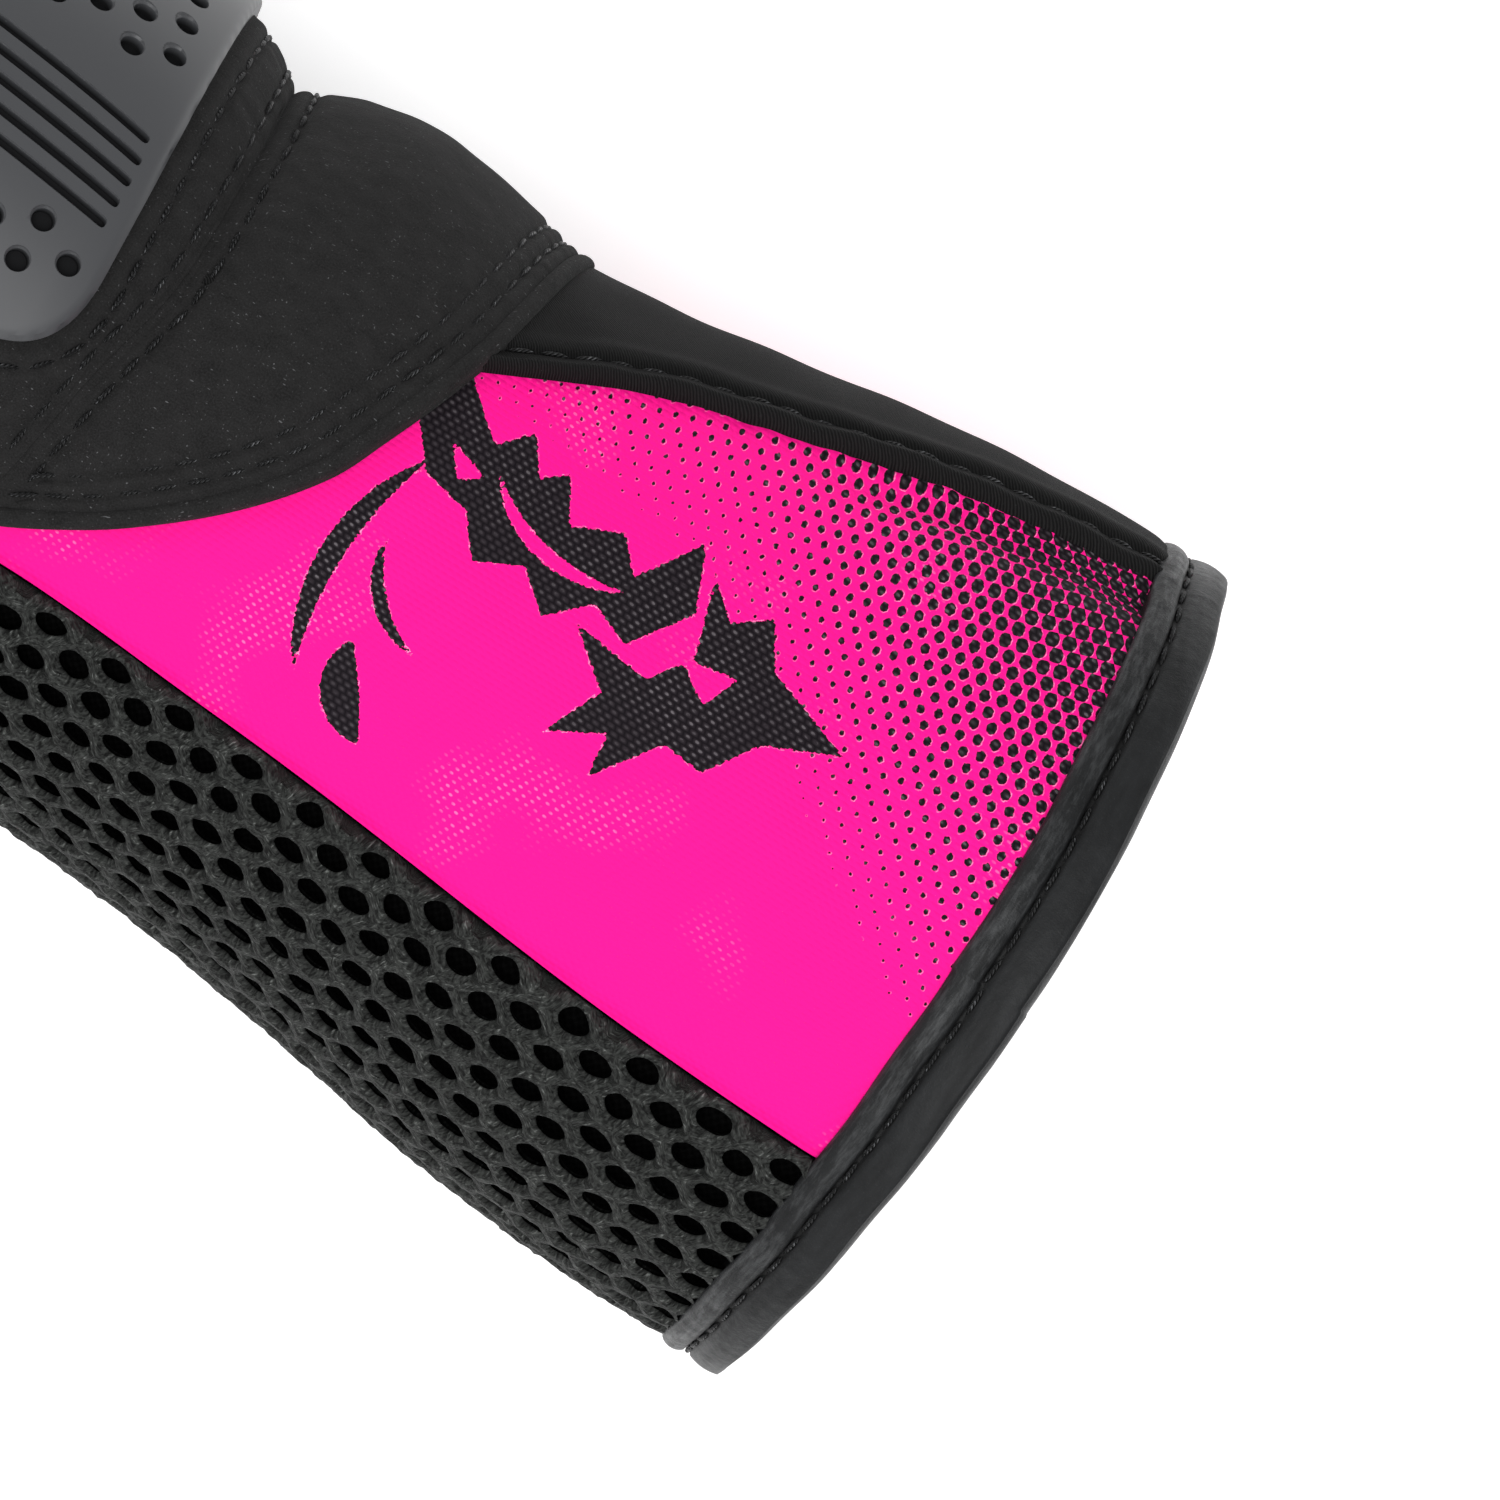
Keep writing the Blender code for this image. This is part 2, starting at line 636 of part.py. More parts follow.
def add_groove(bm, start, aside, side):
    """Adds one groove's cutter: a box bent along the cap's face."""
    groove = bmesh.new()
    bmesh.ops.create_cube(groove, size=1)
    edges = [e for e in groove.edges if abs((e.verts[0].co - e.verts[1].co).x) > 0.5]
    bmesh.ops.subdivide_edges(groove, edges=edges, cuts=6)
    for v in groove.verts:
        far = 0.5 - v.co.x
        x = start - GROOVE_LENGTH * far
        middle = aside - side * GROOVE_FAN * far
        turn = 90 - middle + v.co.y * GROOVE_WIDTH / DEGREE_LENGTH
        height = pad_rise(x, turn) + CAP_PROUD + (1 * MM if v.co.z > 0 else -HOLE_DEPTH)
        v.co = wrap(x, turn, height)
    one = bpy.data.meshes.new("groove")
    groove.to_mesh(one)
    groove.free()
    bm.from_mesh(one)


def make_palm_filling():
    """The foam under the cap, and the stiff plate between them."""
    plate = patch([(-14, 15), (-14, 32), (-40, 36), (-58, 24)], 6 * MM, CAP_CENTRE)
    under_cap = SUEDE + GAP + FLANGE + LAYER
    low, high = pad_height(under_cap + SPLINT), pad_height(under_cap)
    cushion("palm_splint", "splint_plastic", 12, 10, plate, low, high)
    foam = patch([(-12, 20), (-12, 44), (-40, 48), (-62, 30)], 6 * MM, CAP_CENTRE)
    cushion("palm_pad_foam", "foam", 12, 14, foam, fixed(LAYER), pad_height(under_cap + SPLINT + LAYER))


def make_stay():
    """A flexible plastic stay along the back of the wrist, in a pocket inside the sleeve."""
    top = -AIR_MESH - LAYER
    low = top - 1.2 * MM

    def strip(half_turn, ends):
        return lambda u, v: (ends[0] * (1 - u) + ends[1] * u, -90 + half_turn * (2 * v - 1))

    slab("dorsal_stay", "splint_plastic", 12, 4, strip(STAY_HALF_TURN, STAY_X), fixed(low), fixed(top))
    longer = (STAY_X[0] - 4 * MM, STAY_X[1] + 2 * MM)
    cover = (low - LAYER - 0.7 * MM, low - LAYER)
    slab("stay_pocket", "lining", 12, 6, strip(STAY_HALF_TURN + 6, longer), fixed(cover[0]), fixed(cover[1]))


def strap_low(x, turn):
    """The webbing's inner face, which climbs over the hook and loop patches towards its free end."""
    return 0.6 * MM + 2.3 * MM * ease((turn + 85) / 30)


def make_strap():
    """The strap over the back of the hand: a sewn anchor, webbing, a hook patch, its loop patch and a pull tab."""

    def strip(turns, inset=0.0):
        return lambda u, v: (
            (STRAP_X[0] + inset) * (1 - u) + (STRAP_X[1] - inset) * u,
            turns[0] * (1 - v) + turns[1] * v,
        )

    def strap_high(x, turn):
        return strap_low(x, turn) + WEBBING

    anchor_high = fixed(0.6 * MM + WEBBING)
    slab("strap_anchor", "webbing", 4, 3, strip(ANCHOR_TURN), fixed(LAYER), anchor_high)
    webbing = slab("strap_webbing", "webbing", 4, 20, strip((STRAP_ROOT, STRAP_TIP)), strap_low, strap_high)
    slab("loop_patch", "hook_and_loop", 4, 5, strip(LOOP_TURN, -1 * MM), fixed(LAYER), fixed(1.2 * MM))
    slab("hook_patch", "hook_and_loop", 4, 4, strip(HOOK_TURN, 1 * MM), fixed(1.6 * MM), fixed(2.5 * MM))

    def tab(a, b, outset=0.0):
        middle = (STRAP_X[0] + STRAP_X[1]) / 2
        round_a, round_b = a * math.sqrt(1 - b * b / 2.6), b * math.sqrt(1 - a * a / 2.6)
        return middle + 8.5 * MM * round_a, STRAP_TIP + 8 + 7 * round_b

    cushion("strap_pull_tab", "cap_rubber", 6, 6, tab, fixed(2.9 * MM), fixed(4.3 * MM))


clear_scene()
guard = new_collection("wrist_guard")
cutters = new_collection("cutters")
materials = {name: make_material(name) for name in MATERIALS}
make_forearm_panels()
make_hand_panels()
make_bindings()
make_wrist_stretch()
make_heel_pad()
make_cap_and_surround()
make_palm_filling()
make_stay()
make_strap()
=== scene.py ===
"""The looks of the wrist guard: its fabrics, stitching, mesh, rubber cap and bindings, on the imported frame.

Every soft piece is a sheet wrapped round the arm, as in the CAD. x runs along the arm in millimetres, turn is the
angle round it in degrees (0 thumb side, 90 palm, -90 back of the hand), and height is the distance above the
sleeve's outer face in millimetres. Most pieces are made on arrays of those three.
"""

import math
import bpy
import numpy as np
from mathutils import Matrix, Vector
from mathutils.kdtree import KDTree


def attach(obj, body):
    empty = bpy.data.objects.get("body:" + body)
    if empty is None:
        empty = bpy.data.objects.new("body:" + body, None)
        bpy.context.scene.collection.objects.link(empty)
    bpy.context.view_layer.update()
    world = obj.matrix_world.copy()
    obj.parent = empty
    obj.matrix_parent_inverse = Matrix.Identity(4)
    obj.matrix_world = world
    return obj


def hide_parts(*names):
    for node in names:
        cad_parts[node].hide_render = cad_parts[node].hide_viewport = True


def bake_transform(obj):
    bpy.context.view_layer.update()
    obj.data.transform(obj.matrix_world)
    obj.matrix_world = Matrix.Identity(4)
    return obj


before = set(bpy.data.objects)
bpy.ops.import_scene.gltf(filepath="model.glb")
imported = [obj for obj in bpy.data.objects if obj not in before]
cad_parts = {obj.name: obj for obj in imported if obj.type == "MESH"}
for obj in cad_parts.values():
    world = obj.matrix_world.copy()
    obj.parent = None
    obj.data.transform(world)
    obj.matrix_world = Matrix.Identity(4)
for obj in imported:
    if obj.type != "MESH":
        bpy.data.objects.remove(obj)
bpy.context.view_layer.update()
MM = 0.001
DEGREE = 0.52  # millimetres round the arm for one degree, on a flat pattern
PAD_DEGREE, WIDE_DEGREE, CAP_DEGREE = DEGREE * 1.1, DEGREE * 1.12, DEGREE * 1.14  # and further out on the pad
rng = np.random.default_rng(7)

# The sleeve's outer face, as in the CAD
PALM_HALF = [
    (-80, 25.5), (-60, 27.2), (-30, 28.5), (0, 29.0), (20, 29.6), (31, 30.4), (48, 33.1), (61, 35.0), (80, 35.9)
]
BACK_HALF = [(-80, 24.5), (-50, 26.3), (-20, 28.2), (0, 29.0), (20, 30.2), (31, 31.4), (56, 35.1), (80, 35.8)]
THUMB_HEIGHT = [(-80, 62.5), (-50, 61.5), (-25, 59), (0, 56), (15, 55.6), (40, 57), (80, 60)]
CUFF_CLEARANCE, PAD_CLEARANCE = 0.7, 4.7
PAD_EDGE_RISE, PAD_HALF_TURN = 1.3, 116
PAD_RISE = [
    (-80, 1.5), (-74, 2.4), (-60, 5.0), (-40, 6.8), (-20, 6.8), (-8, 5.4), (0, 2.4), (5, 3.2), (11, 4.0),
    (18, 3.0), (26.5, PAD_EDGE_RISE),
]
CUFF_BOW, BOW_FROM, BOW_LENGTH, BOW_TURN = 4.5, 28, 52, 6
MESH_EDGE = [(-80, -58), (-57, -56), (-30, -38), (-4, -27), (20, -27.5), (72, -30.4), (80, -30.6)]
TWILL_EDGE = [(0, 27), (18, 36.7), (35, 54.4), (47, 60.2), (60, 66.6), (72, 70.8), (80, 73)]
PALM_EDGE = [(-80, 16), (-62, 15), (-44, 10), (-28, -12), (-14, -22), (0, -23)]
HEEL_EDGE = [
    (0, 25.8), (14, 25.2), (43, 23.7), (56.5, 22.1), (69, 19.8), (78, 17.7), (89, 13.1), (100, 6.6), (106, 2.0),
    (110, -1.6), (113, -5.0),
]
SEAM_LINE = [
    (0, -0.5), (15, -0.2), (45, 0.6), (66, 0.7), (83, -1.0), (95, -2.0), (104, -2.8), (110, -4.2), (113, -5.2)
]
CUFF_END, HAND_END = 80.0, -84.5
THUMB_X, THUMB_TURN, THUMB_RADIUS = -57.0, -21.0, 11.8
STRAP_X = (-36.5, -17.5)


def curve(stations):
    """A smooth curve through stations, level past the ends, that takes arrays."""
    xs, ys = (np.array(v, float) for v in zip(*stations))
    on, back = np.minimum(np.arange(len(xs)) + 1, len(xs) - 1), np.maximum(np.arange(len(xs)) - 1, 0)
    slopes = (ys[on] - ys[back]) / (xs[on] - xs[back])

    def at(x):
        x = np.clip(np.asarray(x, float), xs[0], xs[-1])
        i = np.clip(np.searchsorted(xs, x, side="right") - 1, 0, len(xs) - 2)
        span = xs[i + 1] - xs[i]
        t = (x - xs[i]) / span
        return (
            ys[i] * (1 + 2 * t) * (1 - t) ** 2
            + ys[i + 1] * t * t * (3 - 2 * t)
            + span * t * (1 - t) * (slopes[i] * (1 - t) - slopes[i + 1] * t)
        )

    return at


palm_half, back_half, thumb_height, pad_middle = (
    curve(c) for c in (PALM_HALF, BACK_HALF, THUMB_HEIGHT, PAD_RISE)
)
mesh_edge, twill_edge, palm_edge, heel_edge, seam_line = (
    curve(c) for c in (MESH_EDGE, TWILL_EDGE, PALM_EDGE, HEEL_EDGE, SEAM_LINE)
)


def ease(t):
    """From 0 to 1 with soft ends."""
    t = np.clip(t, 0, 1)
    return t * t * (3 - 2 * t)


def skin(x, turn):
    """Points of the sleeve's outer face, in millimetres."""
    sine, cosine = np.sin(np.radians(turn)), np.cos(np.radians(turn))
    half = np.where(sine > 0, palm_half(x), back_half(x))
    top = thumb_height(x)
    bottom = CUFF_CLEARANCE + (PAD_CLEARANCE - CUFF_CLEARANCE) * ease((36 - x) / 24)
    t = np.minimum(1, np.maximum(0, -cosine) / 0.94)
    flat = np.where(cosine < 0, -(1.125 * t - 0.125 * t**9), cosine)
    bow_side = np.maximum(0, np.cos(np.radians(turn - BOW_TURN))) ** 1.5
    bow = CUFF_BOW * bow_side * np.maximum(0, (x - BOW_FROM) / BOW_LENGTH) ** 2
    middle, reach = (top + bottom) / 2, (top - bottom) / 2
    return np.stack([x + bow + 0 * sine, half * sine, middle + reach * flat], -1)


def outwards(x, turn):
    """The directions away from the sleeve's outer face."""
    lengthways = skin(x + 0.2, turn) - skin(x - 0.2, turn)
    roundways = skin(x, turn + 0.4) - skin(x, turn - 0.4)
    n = np.cross(lengthways, roundways)
    return n / np.linalg.norm(n, axis=-1, keepdims=True)


def wrap(x, turn, height, on_table=True):
    """The points at those heights above the sleeve's outer face, in metres."""
    x, turn, height = np.broadcast_arrays(*(np.asarray(v, float) for v in (x, turn, height)))
    p = skin(x, turn) + outwards(x, turn) * height[..., None]
    if on_table:
        p[..., 2] = np.maximum(0.02, p[..., 2])
    return p * MM


def aside(turn):
    """How many degrees an angle is from the palm's middle."""
    return np.abs((turn + 90) % 360 - 180)


def pad_rise(x, turn):
    """The pad's height above the sleeve."""
    share = np.minimum(1, aside(turn) / PAD_HALF_TURN)
    return PAD_EDGE_RISE + (pad_middle(x) - PAD_EDGE_RISE) * np.cos(share * np.pi / 2) ** 1.25


def bump_noise(x, y, size, seed=0):
    """Smooth noise from -1 to 1 with features of about that size, the same each run."""
    total = 0 * x
    waves = np.random.default_rng(seed)
    for _ in range(9):
        angle, phase = waves.uniform(0, math.tau, 2)
        k = math.tau / size * waves.uniform(0.6, 1.5)
        total = total + np.sin(k * (x * math.cos(angle) + y * math.sin(angle)) + phase)
    return total / 4


# Meshes

def new_mesh(name, points, faces, flat, sharp=None):
    """An object from points in metres and faces, with its flat pattern's place (mm) as the attribute 'flat'."""
    mesh = bpy.data.meshes.new(name)
    points = np.asarray(points, float).reshape(-1, 3)
    mesh.from_pydata(points.tolist(), [], [list(map(int, f)) for f in faces])
    mesh.update()
    values = mesh.attributes.new("flat", "FLOAT_VECTOR", "POINT")
    values.data.foreach_set("vector", np.asarray(flat, np.float32).reshape(-1))
    mesh.shade_smooth()
    if sharp:
        mesh.set_sharp_from_angle(angle=math.radians(sharp))
    made = bpy.data.objects.new(name, mesh)
    bpy.context.scene.collection.objects.link(made)
    return made


def add_values(obj, name, values):
    attribute = obj.data.attributes.new(name, "FLOAT", "POINT")
    attribute.data.foreach_set("value", np.asarray(values, np.float32).reshape(-1))


def set_flat(obj, x, across, depth):
    """Puts other values in a piece's 'flat' attribute."""
    flat = np.stack([x, across, depth], -1).astype(np.float32)
    obj.data.attributes["flat"].data.foreach_set("vector", flat.reshape(-1))


def joined(a, b):
    """Two faces' arrays side by side, the second one's columns turned round."""
    return np.concatenate([a, b[:, ::-1]], 1)


def closed(values):
    return np.concatenate([values, values[:1]])


def grid_faces(rows, columns, first=0, flip=False, loop=False):
    """Four-sided faces of a grid of points. A loop joins its last column to its first."""
    i = np.arange(rows - 1)[:, None]
    j = np.arange(columns if loop else columns - 1)[None, :]
    k = (j + 1) % columns
    here, on = first + i * columns, first + (i + 1) * columns
    a, b, c, d = here + j, on + j, on + k, here + k
    quads = np.stack([a, d, c, b] if flip else [a, b, c, d], -1)
    return quads.reshape(-1, 4)


def shell(name, x, turn, top, bottom, sharp=None):
    """A sheet with thickness: arrays (rows, columns) of x, turn and the heights of its two faces."""
    rows, columns = x.shape
    across = turn * DEGREE
    points = np.concatenate([wrap(x, turn, top).reshape(-1, 3), wrap(x, turn, bottom).reshape(-1, 3)])
    flat = np.concatenate([
        np.stack([x, across, 0 * x], -1).reshape(-1, 3), np.stack([x, across, 0 * x - 1], -1).reshape(-1, 3)
    ])
    n = rows * columns
    faces = [grid_faces(rows, columns), grid_faces(rows, columns, n, flip=True)]
    edge = np.concatenate([
        np.arange(columns), np.arange(1, rows) * columns + columns - 1,
        (rows - 1) * columns + np.arange(columns - 2, -1, -1), np.arange(rows - 2, 0, -1) * columns,
    ])
    on = np.roll(edge, -1)
    faces.append(np.stack([on, on + n, edge + n, edge], -1))
    return new_mesh(name, points, outward(points, np.concatenate(faces)), flat, sharp=sharp)


def outward(points, faces):
    """The faces turned so that the closed surface's volume is positive."""
    a, b, c, d = (points[faces[:, n]] for n in range(4))
    volume = np.einsum("ij,ij->i", a, np.cross(b, c)).sum() + np.einsum("ij,ij->i", a, np.cross(c, d)).sum()
    return faces if volume > 0 else faces[:, ::-1]


def band(name, x, turn, height, across=None, around=None):
    """A closed ring: arrays (sections round the ring, points round a section)."""
    rows, columns = x.shape
    x, turn, height = (closed(v) for v in (x, turn, height))
    points = wrap(x, turn, height)
    flat_a = turn * DEGREE
    if around is not None:
        flat_a = np.concatenate([around, around[-1:] + around[1:2] - around[:1]])
    flat_b = x if across is None else closed(across)
    flat = np.stack([flat_a + 0 * x, flat_b + 0 * x, height], -1)
    faces = grid_faces(rows + 1, columns, loop=True)
    return new_mesh(name, points, outward(points.reshape(-1, 3), faces), flat)


def rounded(distance, width, depth):
    """How far a face drops towards its edge, rounded like a quarter circle."""
    t = np.clip(1 - distance / width, 0, 1)
    return depth * (1 - np.sqrt(np.maximum(0, 1 - t * t)))


def stitch_mesh(name, rows, length=2.2, gap=0.45, radius=0.2, sink=0.05):
    """Rows of stitches, each a short plump thread. A row is (x, turn, height) arrays along a seam."""
    sides, rings = 7, 6
    points, flats, faces = [], [], []
    lat = np.linspace(-1, 1, rings)
    swell = np.sqrt(np.maximum(0.03, 1 - np.abs(lat) ** 3))
    angle = np.arange(sides) / sides * math.tau
    count = 0
    for x, turn, height in rows:
        p = wrap(x, turn, height)
        out = outwards(x, turn)
        way = np.concatenate([[0], np.cumsum(np.linalg.norm(np.diff(p, axis=0), axis=1))])
        pitch = (length + gap) * MM
        total = way[-1]
        steps = int(total / pitch)
        for n in range(steps):
            middle = (n + 0.5) * total / steps + rng.uniform(-0.08, 0.08) * MM
            half = length / 2 * MM * rng.uniform(0.92, 1.05)
            at = [np.array([np.interp(middle + s * half, way, p[:, k]) for k in range(3)]) for s in (-1, 0, 1)]
            up = np.array([np.interp(middle, way, out[:, k]) for k in range(3)])
            axis = at[2] - at[0]
            axis /= np.linalg.norm(axis) + 1e-12
            side = np.cross(axis, up)
            side /= np.linalg.norm(side) + 1e-12
            axis = axis + side * rng.uniform(-0.07, 0.07)
            arch = (1 - lat**2) * 0.9 - 0.9
            lift = (arch * radius - sink + radius * 0.35) * MM
            centre = at[1] + np.outer(lat * half, axis) + np.outer(lift, up)
            ring = centre[:, None] + swell[:, None, None] * radius * MM * (
                np.cos(angle)[None, :, None] * up + np.sin(angle)[None, :, None] * side
            )
            points.append(ring.reshape(-1, 3))
            run, around = np.meshgrid(lat * length / 2, angle * radius, indexing="ij")
            flats.append(np.stack([run, around, 0 * run + n], -1).reshape(-1, 3))
            faces.append(grid_faces(rings, sides, first=count, loop=True)[:, ::-1])
            count += rings * sides
    return new_mesh(name, np.concatenate(points), np.concatenate(faces), np.concatenate(flats))


# Materials

class Maker:
    """Short ways to add and link shader nodes."""

    def __init__(self, name):
        self.material = bpy.data.materials.new(name)
        self.material.use_nodes = True
        self.tree = self.material.node_tree
        self.shader = self.tree.nodes["Principled BSDF"]

    def node(self, kind, settings=None, **inputs):
        made = self.tree.nodes.new(kind)
        for key, value in (settings or {}).items():
            setattr(made, key, value)
        for key, value in inputs.items():
            by_number = key[0] == "i" and key[1:].isdigit()
            self.put(made.inputs[int(key[1:]) if by_number else key], value)
        return made

    def put(self, socket, value):
        if isinstance(value, bpy.types.NodeSocket):
            self.tree.links.new(value, socket)
        elif socket.type == "RGBA" and len(value) == 3:
            socket.default_value = (*value, 1)
        else:
            socket.default_value = value

    def math(self, operation, a, b=0.0):
        return self.node("ShaderNodeMath", {"operation": operation}, i0=a, i1=b).outputs[0]

    def add(self, a, b):
        return self.math("ADD", a, b)

    def sub(self, a, b):
        return self.math("SUBTRACT", a, b)

    def mul(self, a, b):
        return self.math("MULTIPLY", a, b)

    def sine(self, a):
        return self.math("SINE", a)

    def fract(self, a):
        return self.math("FRACT", a)

    def attribute(self, name):
        return self.node("ShaderNodeAttribute", {"attribute_name": name})

    def flat(self):
        return self.attribute("flat").outputs["Vector"]

    def value(self, name):
        return self.attribute(name).outputs["Fac"]

    def parts(self, vector):
        split = self.node("ShaderNodeSeparateXYZ", i0=vector)
        return split.outputs[0], split.outputs[1], split.outputs[2]

    def vector(self, x, y, z=0.0):
        return self.node("ShaderNodeCombineXYZ", i0=x, i1=y, i2=z).outputs[0]

    def stretch(self, x, y, turn=0.0):
        made = self.node("ShaderNodeMapping", Vector=self.flat(), Rotation=(0, 0, turn), Scale=(x, y, 1))
        return made.outputs[0]

    def noise(self, scale, detail=2.0, roughness=0.5, vector=None, distortion=0.0):
        vector = self.flat() if vector is None else vector
        settings = {"Scale": scale, "Detail": detail, "Roughness": roughness, "Distortion": distortion}
        return self.node("ShaderNodeTexNoise", Vector=vector, **settings).outputs["Fac"]

    def ramp(self, value, low, high, out_low=0.0, out_high=1.0, smooth=False):
        settings = {"interpolation_type": "SMOOTHSTEP" if smooth else "LINEAR"}
        made = self.node("ShaderNodeMapRange", settings, i0=value, i1=low, i2=high, i3=out_low, i4=out_high)
        return made.outputs[0]

    def mix(self, share, a, b):
        made = self.node("ShaderNodeMix", {"data_type": "RGBA"})
        self.put(made.inputs["Factor"], share)
        self.put(made.inputs[6], a)
        self.put(made.inputs[7], b)
        return made.outputs[2]

    def bump(self, height, distance):
        return self.node("ShaderNodeBump", Strength=1.0, Distance=distance, Height=height).outputs["Normal"]

    def done(self, colour, roughness, normal=None, **settings):
        self.put(self.shader.inputs["Base Color"], colour)
        self.put(self.shader.inputs["Roughness"], roughness)
        if normal is not None:
            self.put(self.shader.inputs["Normal"], normal)
        for key, value in settings.items():
            self.put(self.shader.inputs[key.replace("_", " ")], value)
        return self.material


PINK = (1.0, 0.0066, 0.268)


def print_material():
    """Pink stretch cloth with a black halftone and shapes printed on a coarse weave."""
    m = Maker("printed_knit")
    x, across, depth = m.parts(m.flat())
    # The halftone's lattice leans a little against the cloth
    p = m.add(m.mul(x, 0.6526), m.mul(across, 0.5319))
    q = m.add(m.mul(x, 0.2766), m.mul(across, -0.8581))
    dp, dq = m.sub(m.fract(p), 0.5), m.sub(m.fract(q), 0.5)
    dx = m.add(m.mul(dp, 1.21), m.mul(dq, 0.75))
    dy = m.add(m.mul(dp, 0.39), m.mul(dq, -0.92))
    wide, tall = m.mul(dx, 1.2), m.mul(dy, 0.92)
    away = m.math("SQRT", m.add(m.mul(wide, wide), m.mul(tall, tall)))
    rough_edge = m.mul(m.sub(m.noise(4.2, 1.0), 0.5), 0.22)
    dots = m.sub(m.add(away, rough_edge), m.value("dot"))
    shape = m.add(m.value("art"), m.mul(m.sub(m.noise(3.1, 2.0), 0.5), 0.5))
    printed = m.math("MINIMUM", dots, shape)
    inked = m.ramp(printed, -0.03, 0.03, 1.0, 0.0, smooth=True)
    # The weave: rows of short slanting floats
    slant = m.mul(m.add(x, m.mul(across, 0.3)), 1.3)
    rows = m.mul(across, 2.1)
    along = m.fract(m.add(slant, m.mul(m.math("FLOOR", rows), 0.5)))
    lump = m.mul(m.sine(m.mul(along, math.pi)), m.sine(m.mul(m.fract(rows), math.pi)))
    lump = m.add(lump, m.mul(m.noise(9.0, 2.0), 0.25))
    # Painted highlights: in broad soft patches the weave's floats are painted as bright flecks that stand in for
    # sheen. On the pink they are painted highlight only; on the ink they are partly the pale weave showing through
    # and partly painted highlight, brighter in those patches.
    soft = m.noise(0.07, 2.0)
    patches = m.ramp(m.noise(1.3, 2.0, vector=m.stretch(1, 1.6, 0.4)), 0.35, 0.6)
    fleck = m.mul(m.ramp(lump, 0.78, 1.06, smooth=True), patches)
    painted_sheen_on_pink = m.mul(fleck, m.mul(m.ramp(soft, 0.56, 0.68, smooth=True), 0.34))
    ink_weave_and_sheen = m.mul(fleck, m.ramp(soft, 0.4, 0.62, 0.05, 0.34))
    pink = m.mix(painted_sheen_on_pink, PINK, (1.0, 0.42, 0.72))
    ink = m.mix(m.ramp(lump, 0.2, 0.9), (0.006, 0.004, 0.006), (0.022, 0.017, 0.021))
    ink = m.mix(ink_weave_and_sheen, ink, (0.36, 0.33, 0.35))
    # Painted highlight: a pale pink line beside the ink on one side of each dot, standing in for light caught at
    # the dots' edges
    rim = m.ramp(m.math("ABSOLUTE", m.sub(printed, 0.055)), 0.0, 0.045, 0.6, 0.0)
    rim = m.mul(rim, m.ramp(m.sub(dx, m.mul(dy, 0.3)), -0.05, 0.25, 0.1, 1.0))
    rim = m.mul(rim, m.ramp(m.noise(1.6, 1.0), 0.42, 0.58))
    colour = m.mix(inked, m.mix(rim, pink, (1.0, 0.62, 0.85)), ink)
    colour = m.mix(m.ramp(depth, -0.9, -0.5), (0.55, 0.3, 0.42), colour)
    return m.done(colour, 0.7, m.bump(lump, 0.00005), Specular_IOR_Level=0.08)


def suede_material():
    m = Maker("suede")
    nap = m.noise(0.42, 4.0, 0.62, m.stretch(1, 1.5, 0.5), 0.4)
    fuzz = m.noise(6.5, 3.0, 0.7)
    tone = m.mix(m.ramp(nap, 0.3, 0.72), (0.0098, 0.0097, 0.0096), (0.0182, 0.0179, 0.0178))
    tone = m.mix(m.ramp(fuzz, 0.4, 0.75), tone, (0.026, 0.0256, 0.026))
    lint = m.ramp(m.noise(5.5, 1.0, 0.5, m.stretch(1, 0.6, 0.9)), 0.69, 0.76)
    lint = m.mul(lint, m.ramp(nap, 0.4, 0.62))
    hair = m.mul(m.ramp(m.noise(5.2, 0.0, 0.5, m.stretch(0.4, 1.3, -0.6)), 0.79, 0.84), 0.8)
    colour = m.mix(m.math("MAXIMUM", lint, hair), tone, (0.11, 0.112, 0.115))
    height = m.add(m.mul(fuzz, 0.6), m.mul(m.noise(1.7, 3.0, 0.6), 0.8))
    finish = {"Sheen_Weight": 0.03, "Sheen_Roughness": 0.5, "Specular_IOR_Level": 0.06}
    return m.done(colour, 0.92, m.bump(height, 0.00012), **finish)


def twill_material():
    m = Maker("twill")
    x, across, _ = m.parts(m.flat())
    slant = m.add(m.mul(x, 2.9), m.mul(across, 3.6))
    slant = m.add(slant, m.mul(m.noise(1.6, 2.0), 0.9))
    rib = m.math("ABSOLUTE", m.sub(m.fract(slant), 0.5))
    thread = m.noise(11.0, 2.0, 0.6, m.stretch(0.4, 1.4, 0.75))
    height = m.add(m.mul(rib, 1.6), m.mul(thread, 0.5))
    tone = m.mix(m.ramp(height, 0.35, 1.0), (0.0035, 0.0035, 0.0037), (0.0175, 0.0175, 0.0175))
    tone = m.mix(m.ramp(m.noise(0.25, 3.0), 0.35, 0.7, 0.0, 0.35), tone, (0.009, 0.009, 0.0092))
    speck = m.ramp(m.noise(7.0, 1.0), 0.75, 0.82, 0.0, 0.6)
    return m.done(m.mix(speck, tone, (0.08, 0.08, 0.08)), 0.7, m.bump(height, 0.0001), Specular_IOR_Level=0.07)


